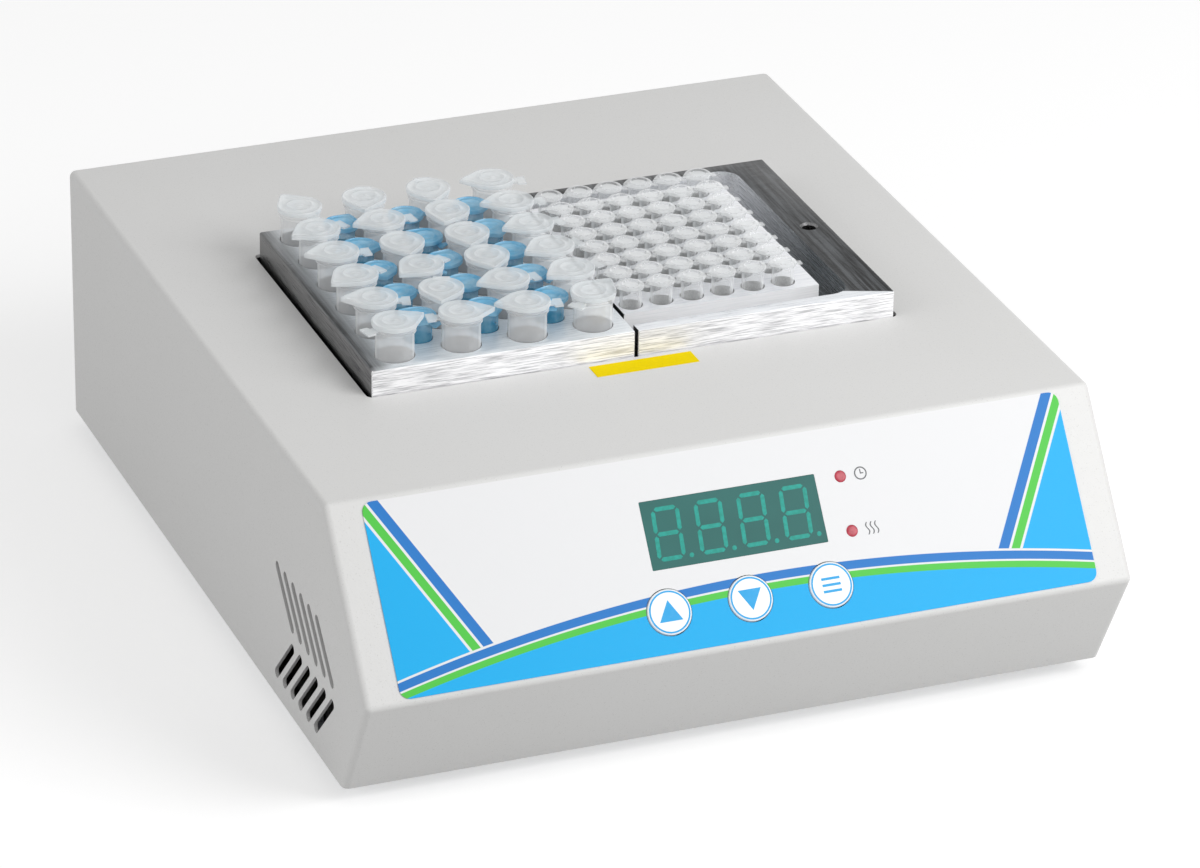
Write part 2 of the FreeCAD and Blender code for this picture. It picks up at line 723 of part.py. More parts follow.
def make_screw(length):
    """A plain screw along Z: head under z = 0, shank above."""
    head = prism(screw_head_radius, screw_head_thick, 6, -screw_head_thick)
    shank = prism(screw_radius, length, 6)
    return fused(head, shank)


def make_base_screws():
    screw = make_screw(base_sheet + cover_sheet + 2.0)
    places = [shifted(x, y, base_bottom) for x, y in lip_screw_places() + post_places()]
    copies("base_screws", screw, places)


def block_body(name, left):
    body = slab(name, left, left + block_width, block_front, block_back, block_bottom, block_top)
    top = block_top.number
    chamfer(body, block_edge, lambda edge: edge.BoundBox.ZMin > top - 0.01)
    return body


def tube_start():
    """Front left large well: the grid stands in the middle of the block."""
    x = left_block_left + (block_width - tube_step_x * (tube_columns - 1)) / 2
    y = block_front + (block_depth - tube_step_y * (tube_rows - 1)) / 2
    return x, y


def grid_places(x, y, step_x, count_x, step_y, count_y):
    return [shifted(x + step_x * i, y + step_y * j, block_top)
            for i in range(count_x) for j in range(count_y)]


def large_places():
    x, y = tube_start()
    return grid_places(x, y, tube_step_x, tube_columns, tube_step_y, tube_rows)


def small_places():
    x, y = tube_start()
    return grid_places(x + tube_step_x / 2, y + tube_step_y / 2, tube_step_x, tube_columns - 1,
                       tube_step_y, tube_rows - 1)


def plate_places():
    """The columns keep half a step from the line between the two blocks."""
    x = plate_step / 2
    y = (block_front + block_back) / 2 - plate_step * (plate_rows - 1) / 2
    return grid_places(x, y, plate_step, plate_columns, plate_step, plate_rows)


def drilled(body, name, *tools):
    """The body with every tool taken out of it."""
    doc.recompute()
    before = body.Shape.Volume
    cut = doc.addObject("Part::Cut", name + "_drilled")
    cut.Base = body
    cut.Tool = fused(*tools) if len(tools) > 1 else tools[0]
    doc.recompute()
    if cut.Shape.Volume > before - 1:
        raise ValueError(f"the wells of {name} cut nothing")
    return keep(cut, name)


def make_tube_block():
    """Left block: 24 large wells with a tapered seat, and 15 small wells between them."""
    body = block_body("tube_block", left_block_left)
    mouth = prism(tube_well_radius, tube_well_straight + well_over, 8, -tube_well_straight)
    seat = frustum(tube_well_radius, tube_seat_foot, 8, -tube_well_straight,
                   -tube_well_straight - tube_well_seat)
    large = spread("large_wells", fused(mouth, seat), large_places())
    throat = frustum(small_well_radius, small_seat_foot, 6, as_size(0), -small_well_depth)
    small = spread("small_wells", fused(prism(small_well_radius, well_over, 6), throat),
                   small_places())
    drilled(body, "tube_block", large, small)


def make_plate_block():
    """Right block: an island with 48 wells inside a moat that is open towards the left block."""
    body = block_body("plate_block", right_block_left)
    moat = sketch_on(body, "XY_Plane", shifted(z=block_top))
    outer_x = right_block_left + block_width - rim_side
    island_x = right_block_left + island_width
    closed_outline(moat, [
        (right_block_left - 1, block_front + rim_end), (outer_x, block_front + rim_end),
        (outer_x, block_back - rim_end), (right_block_left - 1, block_back - rim_end),
        (right_block_left - 1, block_back - island_inset), (island_x, block_back - island_inset),
        (island_x, block_front + island_inset), (right_block_left - 1, block_front + island_inset)])
    pocket(body, moat, moat_depth)
    corner_x = outer_x.number
    fillet(body, moat_corner, lambda edge: runs_along(edge, Z_AXIS)
           and abs(edge.BoundBox.XMin - corner_x) < 0.01)
    bore = sketch_on(body, "XY_Plane", shifted(z=block_top))
    round_outline(bore, right_block_left + block_width - rim_side / 2,
                  (block_front + block_back) / 2, gauge_radius)
    pocket(body, bore, gauge_depth)
    throat = frustum(plate_well_radius, plate_seat_foot, 6, as_size(0), -plate_well_depth)
    wells = spread("plate_wells", fused(prism(plate_well_radius, well_over, 6), throat),
                   plate_places())
    drilled(body, "plate_block", wells)


def lid_plate(name, radius, beak, sides, low, thick):
    """A flat-sided lid on the plane z = low, with the beak that opens it along X."""
    body = new_body(name)
    outline = sketch_on(body, "XY_Plane", shifted(z=low))
    corners = []
    for i in range(sides):
        reach = radius if i else beak
        turn = 2 * math.pi * i / sides
        corners.append((reach * round(math.cos(turn), 6), reach * round(math.sin(turn), 6)))
    closed_outline(outline, corners)
    pad(body, outline, thick)
    return body


def turned_by(places, steps, sides):
    """Each place turned by its own number of steps, so that flat sides still meet flat sides."""
    return [place * Placement(Vector(), Rotation(Z_AXIS, 360 / sides * step))
            for place, step in zip(places, steps)]


# Where the large lids' beaks point, in eighths of a turn: a column at a time, from the front
LARGE_LID_STEPS = [0, 4, 5, 4, 4, 2,
                   0, 6, 5, 6, 4, 6,
                   4, 4, 6, 6, 5, 6,
                   1, 4, 4, 4, 4, 4]


def make_tubes():
    """The load: large clear tubes, small tinted tubes between them, and plate tubes."""
    barrel = tube_well_radius - fit_gap
    rim = large_lid_top - large_lid_thick
    large = fused(
        lid_plate("large_lid", large_lid_radius, large_beak, 8, rim, large_lid_thick),
        prism(barrel, rim + tube_well_straight, 8, -tube_well_straight),
        frustum(barrel, large_tip_radius, 8, -tube_well_straight, -large_tube_tip))
    copies("large_tubes", large, turned_by(large_places(), LARGE_LID_STEPS, 8))
    rim = small_lid_top - small_lid_thick
    small = fused(
        lid_plate("small_lid", small_lid_radius, small_beak, 6, rim, small_lid_thick),
        prism(small_well_radius - fit_gap, rim, 6),
        frustum(small_well_radius - fit_gap, small_tip_radius, 6, as_size(0), -small_tube_tip))
    places = small_places()
    copies("small_tubes", small, turned_by(places, range(0, 2 * len(places), 2), 6))
    rim = plate_lid_top - plate_lid_thick
    plate = fused(
        prism(plate_lid_radius, plate_lid_thick, 6, rim),
        frustum(plate_lid_radius, plate_tip_radius, 6, rim, -plate_tube_tip))
    copies("plate_tubes", plate, plate_places())


def make_well_liner():
    """Sheet wall between the blocks and the insulation, from the heater plate to the deck."""
    body = frame_ring("well_liner", well_side, well_front, well_back, liner_sheet,
                      block_bottom, deck_top - cover_sheet)
    keep(body, "well_liner")


def make_insulation():
    """A jacket round the liner, and a thick pad under the heating mat."""
    jacket = frame_ring("insulation_jacket", plate_side + soft_gap, plate_front - soft_gap,
                        plate_back + soft_gap, jacket_thick, base_top + soft_gap,
                        deck_top - cover_sheet - soft_gap)
    passage = sketch_on(jacket, "XZ_Plane", shifted(z=-plate_back - soft_gap - jacket_thick))
    middle = (heater_bottom + block_bottom) / 2
    half = probe_radius + soft_gap
    box_outline(passage, -half, half, middle - half, middle + half)
    pocket(jacket, passage, jacket_thick + 2, reverse=True)
    keep(jacket, "insulation_jacket")
    pad_body = slab("insulation_pad", -plate_side, plate_side, plate_front, plate_back,
                    base_top + soft_gap, mat_bottom - soft_gap)
    clear = post_radius + soft_gap
    recess = sketch_on(pad_body, "XY_Plane", shifted(z=mat_bottom))
    for x, y in post_places():
        box_outline(recess, x - clear, x + clear, y - clear, y + clear)
    pocket(pad_body, recess, mat_bottom - base_bottom)
    button = sketch_on(pad_body, "XY_Plane", shifted(z=mat_bottom))
    room = cutout_radius + soft_gap
    box_outline(button, -room, room, -room, room)
    pocket(pad_body, button, cutout_height + soft_gap)
    keep(pad_body, "insulation_pad")


def make_heater():
    """Heater plate on four posts, the mat under it, its probe and its thermal cut-out."""
    heater = slab("heater_plate", -plate_side, plate_side, plate_front, plate_back,
                  heater_bottom, block_bottom)
    bore = sketch_on(heater, "XZ_Plane", shifted(z=-plate_back))
    probe_z = (heater_bottom + block_bottom) / 2
    round_outline(bore, 0, probe_z, probe_radius + probe_gap)
    pocket(heater, bore, probe_depth + probe_gap, reverse=True)
    keep(heater, "heater_plate")

    mat = slab("heating_mat", -plate_side + mat_inset, plate_side - mat_inset,
               plate_front + mat_inset, plate_back - mat_inset, mat_bottom, heater_bottom)
    keep(mat, "heating_mat")

    probe = doc.addObject("Part::Cylinder", "probe")
    bind(probe, Radius=probe_radius, Height=probe_depth + probe_tail)
    probe.Placement = Placement(spot(0, plate_back - probe_depth, probe_z), Rotation(X_AXIS, -90))
    keep(probe, "temperature_probe")

    button = prism(cutout_radius, cutout_height, 16, mat_bottom - cutout_height)
    keep(button, "thermal_cutout")

    post = prism(post_radius, heater_bottom - base_top, 6, base_top)
    bore_pin = prism(screw_radius + screw_play, cover_sheet + 3.0, 6, base_top)
    hollow = doc.addObject("Part::Cut", "hollow_post")
    hollow.Base = post
    hollow.Tool = bore_pin
    copies("heater_posts", hollow, [shifted(x, y) for x, y in post_places()])


def on_panel(feature):
    feature.Placement = ON_PANEL
    return feature


def panel_slab(name, x_low, x_high, top, bottom, z_low, z_high):
    """A slab parallel to the panel; top and bottom are measured down the slope."""
    return on_panel(slab(name, x_low, x_high, -bottom, -top, z_low, z_high))


def make_panel_label():
    """Printed film over the panel, with a hole for each key, lamp and the window."""
    body = panel_slab("panel_label", -label_width / 2, label_width / 2,
                      label_top, label_bottom, as_size(0), label_thick)
    fillet(body, label_corner, lambda edge: abs(edge.Length - label_thick.number) < 0.001)
    holes = sketch_on(body, "XY_Plane", shifted(z=label_thick))
    box_outline(holes, window_shift - window_width / 2, window_shift + window_width / 2,
                -window_down - window_height / 2, -window_down + window_height / 2)
    for x, y in key_places():
        closed_outline(holes, many_sided(x, y, key_radius + key_play, 16))
    for x, y in lamp_places():
        closed_outline(holes, many_sided(x, y, lamp_radius + lamp_play, 12))
    pocket(body, holes, label_thick * 2)
    keep(body, "panel_label")

    window = panel_slab("display_window", window_shift - window_width / 2,
                        window_shift + window_width / 2, window_down - window_height / 2,
                        window_down + window_height / 2, as_size(0), label_thick)
    keep(window, "display_window")


def make_control_board():
    """Display, lamps and key switches on one board behind the panel."""
    board = panel_slab("control_board", -control_left, control_right, control_top,
                       control_bottom, board_back, board_face)
    holes = sketch_on(board, "XY_Plane", shifted(z=board_face))
    for x, y in board_fixings():
        closed_outline(holes, many_sided(x, y, screw_radius + screw_play, 6))
    pocket(board, holes, board_thick * 2)
    keep(board, "control_board")

    display = panel_slab("display_module", window_shift - window_width / 2,
                         window_shift + window_width / 2, window_down - window_height / 2,
                         window_down + window_height / 2, board_face, -display_rest)
    keep(display, "display_module")

    lamp = prism(lamp_radius, label_thick + lamp_proud - board_face, 12)
    copies("status_lamps", lamp, [
        ON_PANEL * shifted(x, y, board_face) for x, y in lamp_places()])

    half = switch_side / 2
    block = slab("key_switch", -half, half, -half, half, as_size(0), switch_height)
    copies("key_switches", block, [
        ON_PANEL * shifted(x, y, board_face) for x, y in key_places()])

    length = -cover_sheet - board_face
    standoff = prism(standoff_radius, length, 6)
    hollow = doc.addObject("Part::Cut", "hollow_standoff")
    hollow.Base = standoff
    hollow.Tool = prism(screw_radius + screw_play, length - 1.5, 6)
    copies("board_standoffs", hollow, [
        ON_PANEL * shifted(x, y, board_face) for x, y in board_fixings()])
    screw = make_screw(board_thick + 4.0)
    copies("board_screws", screw, [
        ON_PANEL * shifted(x, y, board_back) for x, y in board_fixings()])


def board_fixings():
    x_low = -control_left + board_hole_inset
    x_high = control_right - board_hole_inset
    return [(x, -y) for x in (x_low, x_high)
            for y in (control_top + board_hole_inset, control_bottom - board_hole_inset)]


def make_key(name, x, y):
    """A round key: cap through the cover and label, a flange behind it and a stem."""
    body = new_body(name)
    flange_top = -cover_sheet - key_travel / 2
    cap = sketch_on(body, "XY_Plane", shifted(z=flange_top))
    closed_outline(cap, many_sided(as_size(0), as_size(0), key_radius, 24))
    pad(body, cap, label_thick + key_proud - flange_top)
    flange = sketch_on(body, "XY_Plane", shifted(z=flange_top))
    closed_outline(flange, many_sided(as_size(0), as_size(0), key_radius + key_flange, 12))
    pad(body, flange, key_flange_thick, reverse=True)
    stem = sketch_on(body, "XY_Plane", shifted(z=flange_top - key_flange_thick))
    half = key_stem / 2
    box_outline(stem, -half, half, -half, half)
    foot = board_face + switch_height + key_travel + key_stop_gap
    pad(body, stem, flange_top - key_flange_thick - foot, reverse=True)
    body.Placement = ON_PANEL * shifted(x, y)
    keep(body, name)


def make_keys():
    for name, place in zip(("up_key", "down_key", "mode_key"), key_places()):
        make_key(name, *place)


def rear_frame(x, z):
    """Seen from behind: X to the right, Y up and Z outwards from the back wall."""
    return Placement(spot(x, back_wall, z), Rotation(Z_AXIS, 180) * Rotation(X_AXIS, 90))


def make_inlet():
    """Flanged inlet: a six-sided recess for the plug above the slot of the fuse drawer."""
    place = rear_frame(-inlet_x, inlet_z)
    body = new_body("inlet_socket")
    flange = sketch_on(body, "XY_Plane")
    flange_half = inlet_height / 2 + inlet_flange_side
    ear = inlet_flange_width / 2
    shoulder = inlet_width / 2 + inlet_flange_side
    ear_half = screw_head_radius + inlet_flange_side
    closed_outline(flange, [
        (-shoulder, flange_half), (-ear, ear_half), (-ear, -ear_half), (-shoulder, -flange_half),
        (shoulder, -flange_half), (ear, -ear_half), (ear, ear_half), (shoulder, flange_half)])
    pad(body, flange, rear_reach)
    housing = sketch_on(body, "XY_Plane")
    box_outline(housing, -inlet_width / 2, inlet_width / 2, -inlet_height / 2, inlet_height / 2)
    pad(body, housing, inlet_depth, reverse=True)
    recess = sketch_on(body, "XY_Plane", shifted(z=rear_reach))
    left = -socket_width / 2
    right = socket_width / 2
    low = socket_up - socket_height / 2
    high = socket_up + socket_height / 2
    closed_outline(recess, [
        (left, low), (right, low), (right, high - socket_cut), (right - socket_cut, high),
        (left + socket_cut, high), (left, high - socket_cut)])
    pocket(body, recess, socket_depth)
    slot = sketch_on(body, "XY_Plane", shifted(z=rear_reach))
    half_width = drawer_width / 2 + drawer_play
    half_height = drawer_height / 2 + drawer_play
    box_outline(slot, -half_width, half_width, -drawer_down - half_height, -drawer_down + half_height)
    pocket(body, slot, drawer_depth + drawer_play)
    holes = sketch_on(body, "XY_Plane", shifted(z=rear_reach))
    for side in (-1, 1):
        closed_outline(holes, many_sided(side * inlet_screw_step / 2, as_size(0),
                                         screw_radius + screw_play, 6))
    for x, y in pin_places():
        box_outline(holes, x - pin_thick / 2, x + pin_thick / 2, y - pin_width / 2, y + pin_width / 2)
    pocket(body, holes, inlet_depth + rear_reach * 2)
    body.Placement = place
    keep(body, "inlet_socket")

    blade_low = rear_reach - socket_depth + pin_reach
    half = pin_thick / 2
    blade = slab("contact_blade", -half, half, -pin_width / 2, pin_width / 2,
                 -inlet_depth - pin_tail, blade_low)
    copies("contact_blades", blade, [place * shifted(x, y) for x, y in pin_places()])

    screw = make_screw(rear_reach + cover_sheet + 4.0)
    inwards = place * shifted(z=rear_reach) * Placement(Vector(), Rotation(X_AXIS, 180))
    nut = prism(screw_head_radius, screw_head_thick + 0.8, 6, rear_reach + cover_sheet)
    bored = doc.addObject("Part::Cut", "bored_nut")
    bored.Base = nut
    bored.Tool = prism(screw_radius + screw_play, rear_reach * 4, 6)
    ends = [inwards * shifted(side * inlet_screw_step / 2) for side in (-1, 1)]
    copies("inlet_screws", screw, ends)
    copies("inlet_nuts", bored, ends)


def pin_places():
    return [(-pin_step, socket_up - pin_rise), (as_size(0), socket_up + pin_rise),
            (pin_step, socket_up - pin_rise)]


def make_fuse_drawer():
    """Drawer that slides out under the plug's recess, with a working and a spare fuse."""
    place = rear_frame(-inlet_x, inlet_z) * shifted(0, -drawer_down)
    body = new_body("fuse_drawer")
    front = rear_reach
    block = sketch_on(body, "XY_Plane", shifted(z=front - drawer_depth))
    box_outline(block, -drawer_width / 2, drawer_width / 2, -drawer_height / 2, drawer_height / 2)
    pad(body, block, drawer_depth)
    floor = -drawer_height / 2 + drawer_wall
    for side in (-1, 1):
        bay = sketch_on(body, "XZ_Plane", shifted(z=-drawer_height / 2))
        middle = side * fuse_step / 2
        clear = fuse_radius + drawer_play
        box_outline(bay, middle - clear, middle + clear,
                    front - drawer_depth + drawer_wall,
                    front - drawer_depth + drawer_wall + fuse_length + drawer_play * 2)
        pocket(body, bay, drawer_height - drawer_wall, reverse=True)
    grip = sketch_on(body, "XY_Plane", shifted(z=front))
    box_outline(grip, -drawer_width / 4, drawer_width / 4, -drawer_height / 2 - 1,
                -drawer_height / 2 + drawer_wall)
    pocket(body, grip, drawer_wall)
    body.Placement = place
    keep(body, "fuse_drawer")

    fuse = prism(fuse_radius, fuse_length, 8)
    seat = front - drawer_depth + drawer_wall + drawer_play
    copies("glass_fuses", fuse, [
        place * shifted(side * fuse_step / 2, floor + fuse_radius, seat) for side in (-1, 1)])


def make_power_switch():
    """Snap-in frame with a rocker on two trunnions."""
    place = rear_frame(-rocker_x, inlet_z)
    body = new_body("switch_frame")
    bezel = sketch_on(body, "XY_Plane")
    box_outline(bezel, -bezel_width / 2, bezel_width / 2, -bezel_height / 2, bezel_height / 2)
    pad(body, bezel, bezel_thick)
    case = sketch_on(body, "XY_Plane")
    box_outline(case, -switch_body_width / 2, switch_body_width / 2,
                -switch_body_height / 2, switch_body_height / 2)
    pad(body, case, switch_body_depth, reverse=True)
    mouth = sketch_on(body, "XY_Plane", shifted(z=bezel_thick))
    half_width = rocker_width / 2 + rocker_side_gap
    half_length = rocker_length / 2 + rocker_end_gap
    box_outline(mouth, -half_width, half_width, -half_length, half_length)
    pocket(body, mouth, bezel_thick + 6.0)
    seat = sketch_on(body, "XY_Plane", shifted(z=bezel_thick))
    half_width = rocker_width / 2 + rocker_side_gap + 0.9
    half_length = pivot_radius + pivot_play
    box_outline(seat, -half_width, half_width, -half_length, half_length)
    pocket(body, seat, bezel_thick + pivot_radius + pivot_play)
    body.Placement = place
    keep(body, "switch_frame")

    rocker = new_body("switch_rocker")
    side = sketch_on(rocker, "YZ_Plane")
    half = rocker_length / 2
    closed_outline(side, [
        (-half, as_size(1.9)), (as_size(0), as_size(0.9)), (half, as_size(1.9)),
        (half, as_size(0.4)), (half - 3, as_size(-2.6)), (3 - half, as_size(-2.6)),
        (-half, as_size(0.4))])
    pad(rocker, side, rocker_width, both_ways=True)
    pivot = sketch_on(rocker, "YZ_Plane")
    round_outline(pivot, 0, 0, pivot_radius)
    pad(rocker, pivot, rocker_width + rocker_side_gap * 2 + 1.2, both_ways=True)
    rocker.Placement = place * Placement(Vector(), Rotation(X_AXIS, rocker_tilt.number))
    keep(rocker, "switch_rocker")


def make_power_board():
    """Board behind the well: supply, relay, heater drive and terminals."""
    board = slab("power_board", power_left, power_right, power_front, power_rear,
                 power_bottom, power_top)
    holes = sketch_on(board, "XY_Plane", shifted(z=power_top))
    fixings = [(x, y) for x in (power_left + board_hole_inset, power_right - board_hole_inset)
               for y in (power_front + board_hole_inset, power_rear - board_hole_inset)]
    for x, y in fixings:
        closed_outline(holes, many_sided(x, y, screw_radius + screw_play, 6))
    pocket(board, holes, board_thick * 2)
    keep(board, "power_board")
    standoff = prism(standoff_radius, power_standoff, 6)
    hollow = doc.addObject("Part::Cut", "hollow_pillar")
    hollow.Base = standoff
    hollow.Tool = prism(screw_radius + screw_play, power_standoff, 6, 1.0)
    copies("power_standoffs", hollow, [shifted(x, y, base_top) for x, y in fixings])
    screw = make_screw(board_thick + power_standoff - 2.0)
    upside_down = Placement(Vector(), Rotation(X_AXIS, 180))
    copies("power_screws", screw, [shifted(x, y, power_top) * upside_down for x, y in fixings])

    # Transformer: a coil between the limbs of its core
    middle = power_left + 48
    line = (power_front + power_rear) / 2
    core = slab("core", middle - 16, middle + 16, line - 9, line + 9, power_top, power_top + 27)
    coil = slab("coil", middle - 11, middle + 11, line - 14, line + 14, power_top + 4, power_top + 23)
    keep(fused(core, coil), "transformer")
    relay = slab("relay", power_left + 67, power_left + 82.5, line - 9.5, line + 9.5,
                 power_top, power_top + 15.5)
    keep(relay, "heater_relay")

    # Finned heat sink with the heater's power switch clamped to its back
    fins = new_body("heat_sink")
    comb = sketch_on(fins, "XY_Plane", shifted(z=power_top))
    left = power_left + 88
    front = power_front + 17
    corners = [(left, front), (left + 14, front)]
    for i in range(5):
        near = front + 3 + i * 4.5
        corners += [(left + 14, near), (left + 4, near), (left + 4, near + 2.5), (left + 14, near + 2.5)]
    corners += [(left + 14, front + 27), (left, front + 27)]
    closed_outline(comb, corners)
    pad(fins, comb, 25)
    keep(fins, "heat_sink")
    triac = slab("triac", left - 4.5, left, front + 8, front + 18, power_top, power_top + 16)
    keep(triac, "heater_triac")

    can = prism(5, 18, 12)
    copies("capacitors", can, [
        shifted(power_left + 68 + 12 * i, power_front + 7, power_top) for i in (0, 1)])
    terminals = slab("terminal_block", power_left + 10, power_left + 36, power_rear - 14,
                     power_rear - 4, power_top, power_top + 12)
    mouths = sketch_on(terminals, "XZ_Plane", shifted(z=14 - power_rear))
    for i in range(5):
        x = power_left + 12.6 + i * 5.2
        box_outline(mouths, x - 1.6, x + 1.6, power_top + 2, power_top + 5.4)
    pocket(terminals, mouths, 6)
    keep(terminals, "terminal_block")


def strip_along(points, bevel, wide, thick, across):
    """A flat strip along straight runs, with its corners cut short by a bevel."""
    path = [points[0]]
    for i in range(1, len(points) - 1):
        path.append(points[i] + (points[i - 1] - points[i]).normalize() * bevel)
        path.append(points[i] + (points[i + 1] - points[i]).normalize() * bevel)
    path.append(points[-1])
    heading = (path[1] - path[0]).normalize()
    up = heading.cross(across)
    corners = [path[0] + across * (a * wide / 2) + up * (b * thick / 2)
               for a, b in ((-1, -1), (1, -1), (1, 1), (-1, 1), (-1, -1))]
    spine = Part.makePolygon(path)
    return spine.makePipeShell([Part.makePolygon(corners)], True, False, 1)


def make_wiring():
    """Ribbon between the two boards, and the mains leads from inlet and switch."""
    middle = float(side_inside) - float(lip_width) - 1 - float(ribbon_width) / 2
    plug_down = 36.0
    plug_tall = 5.0
    plug_half = 3.0
    wide = float(ribbon_width)
    root = ON_PANEL.multVec(spot(middle, -plug_down, board_back - plug_tall))
    inward = ON_PANEL.Rotation.multVec(Vector(0, 0, -1))
    floor = float(base_top) + float(ribbon_thick)
    slide = (root.z - floor) / -inward.z
    bend_radius = 4.0
    rise = float(power_front) - 5
    over = rise + 2 * bend_radius + 8
    crest = float(power_top) + plug_tall + 8
    path = [root, root + inward * slide, Vector(middle, rise, floor),
            Vector(middle, rise, crest), Vector(middle, over, crest),
            Vector(middle, over, float(power_top) + plug_tall)]
    cable = strip_along(path, bend_radius, wide, float(ribbon_thick), X_AXIS)
    front_plug = Part.makeBox(wide, 2 * plug_half, plug_tall,
                              spot(middle - wide / 2, -plug_down - plug_half, board_back - plug_tall))
    front_plug.Placement = ON_PANEL * front_plug.Placement
    rear_plug = Part.makeBox(wide, 2 * plug_half, plug_tall,
                             Vector(middle - wide / 2, over - plug_half, float(power_top)))
    ribbon = doc.addObject("Part::Feature", "ribbon")
    ribbon.Shape = Part.Compound([cable, front_plug, rear_plug])
    keep(ribbon, "ribbon_cable")

    leads = doc.addObject("Part::Feature", "leads")
    side = float(lead_side)
    leads.Shape = Part.Compound([
        strip_along(route, 3.0, side, side, X_AXIS) for route in lead_routes()])
    keep(leads, "mains_leads")


def lead_routes():
    """Inlet to switch, switch to terminals, and the earth lead; each from end to end."""
    tail_y = float(back_wall) - float(inlet_depth) - float(pin_tail)
    switch_y = float(back_wall) - float(switch_body_depth)
    port_y = float(power_rear) - 14.0
    port_z = float(power_top) + 3.7
    blades = [(-float(inlet_x) - float(x), float(inlet_z) + float(y)) for x, y in pin_places()]
    routes = []
    for i, (x, z) in enumerate((blades[0], blades[2])):
        run_y = tail_y - 7 - 5 * i
        to_x = -float(rocker_x) - 3.5 + 7 * i
        routes.append([Vector(x, tail_y, z), Vector(x, run_y, z),
                       Vector(to_x, run_y, z), Vector(to_x, switch_y, z)])
        down_y = switch_y - 9 - 5 * i
        low_z = float(inlet_z) - 5
        port_x = float(power_left) + 12.6 + 5.2 * i
        turn_y = port_y - 6 - 5 * i
        routes.append([Vector(to_x, switch_y, low_z), Vector(to_x, turn_y, low_z),
                       Vector(to_x, turn_y, port_z), Vector(port_x, turn_y, port_z),
                       Vector(port_x, port_y + 4, port_z)])
    x, z = blades[1]
    stud_x = float(power_left) - 12
    stud_y = float(plate_back) + float(jacket_thick) + 4
    floor = float(base_top) + 4.5
    routes.append([Vector(x, tail_y, z), Vector(x, stud_y + 12, z), Vector(x, stud_y + 12, floor),
                   Vector(stud_x, stud_y + 12, floor), Vector(stud_x, stud_y + 3.4, floor)])
    return routes


def make_earth_stud():
    """Earth screw through the base plate, with its nut."""
    x = power_left - 12
    y = plate_back + jacket_thick + 4
    stud = prism(as_size(2), as_size(9), 8)
    nut = prism(as_size(3.6), as_size(3), 6)
    stud_nut = fused(stud, nut)
    stud_nut.Placement = shifted(x, y, base_top)
    keep(stud_nut, "earth_stud")


def make_yellow_strip():
    body = slab("yellow_strip", -strip_width / 2, strip_width / 2,
                block_front - strip_gap - strip_depth, block_front - strip_gap,
                deck_top, deck_top + strip_thick)
    keep(body, "yellow_strip")


make_top_cover()
make_base_plate()
make_feet()
make_base_screws()
make_tube_block()
make_plate_block()
make_tubes()
make_well_liner()
make_insulation()
make_heater()
make_panel_label()
make_control_board()
make_keys()
make_inlet()
make_fuse_drawer()
make_power_switch()
make_power_board()
make_wiring()
make_earth_stud()
make_yellow_strip()
doc.recompute()

for thing in doc.Objects:
    if "Invalid" in thing.State or "Error" in thing.State:
        raise ValueError(f"{thing.Name} is {thing.State}")
for piece in nodes:
    if piece.Shape.isNull() or not piece.Shape.isValid():
        raise ValueError(f"{piece.Label} has no valid shape")

os.makedirs("parts", exist_ok=True)
for piece in nodes:
    piece.Shape.exportStep(f"parts/{piece.Label}.step")
    box = piece.Shape.BoundBox
    print(f"{piece.Label:20} {len(piece.Shape.Solids):3} solids "
          f"{piece.Shape.Volume:12.1f} mm3  x {box.XMin:.1f} {box.XMax:.1f} "
          f"y {box.YMin:.1f} {box.YMax:.1f} z {box.ZMin:.1f} {box.ZMax:.1f}")
print(len(nodes), "nodes")
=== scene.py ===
# %% [markdown]
# This lesson dresses a bench dry bath: a low sheet-metal cabinet with a sloping control panel
# and two lift-out aluminium blocks full of lidded sample tubes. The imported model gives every
# piece its place. Here the pieces that are seen get their true forms and finishes.

import math

import bmesh
import bpy
from mathutils import Matrix, Vector


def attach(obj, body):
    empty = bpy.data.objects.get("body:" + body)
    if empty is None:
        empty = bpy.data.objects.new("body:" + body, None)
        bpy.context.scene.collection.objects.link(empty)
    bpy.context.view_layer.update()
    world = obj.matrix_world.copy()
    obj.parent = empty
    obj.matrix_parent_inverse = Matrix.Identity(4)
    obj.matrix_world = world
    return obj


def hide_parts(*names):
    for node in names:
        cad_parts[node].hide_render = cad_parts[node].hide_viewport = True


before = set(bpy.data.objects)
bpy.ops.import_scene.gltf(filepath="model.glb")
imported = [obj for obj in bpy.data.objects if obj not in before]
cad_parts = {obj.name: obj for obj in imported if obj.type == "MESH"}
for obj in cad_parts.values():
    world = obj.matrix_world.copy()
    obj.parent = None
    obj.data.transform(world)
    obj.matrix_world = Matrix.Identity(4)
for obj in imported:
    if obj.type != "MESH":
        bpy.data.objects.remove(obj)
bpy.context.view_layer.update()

# %% [markdown]
# A product photograph like this one is taken from far away with a long lens, so the cabinet
# hardly narrows towards the back. The camera's place and its three turns were worked out from
# the corners of the cabinet in the picture.

# %% Camera
CAMERA_PLACE = (-0.58091, -1.49598, 0.82961)
HEADING, PITCH, ROLL = -0.3743, 1.1124, 0.0141


def add_object(name, data):
    added = bpy.data.objects.new(name, data)
    bpy.context.scene.collection.objects.link(added)
    return added


camera_data = bpy.data.cameras.new("camera")
camera_data.lens = 191.66
camera_data.clip_end = 20
camera = add_object("camera", camera_data)
camera.matrix_world = (Matrix.Translation(CAMERA_PLACE) @ Matrix.Rotation(HEADING, 4, "Z")
                       @ Matrix.Rotation(PITCH, 4, "X") @ Matrix.Rotation(ROLL, 4, "Z"))
bpy.context.scene.camera = camera
print("camera", round(Vector(CAMERA_PLACE).length, 2), "m away")

# %% [markdown]
# All the sizes below are in millimetres and are turned into metres when a mesh is made. The
# same few values drive the cabinet, the label, the keys and the blocks, so that they meet.

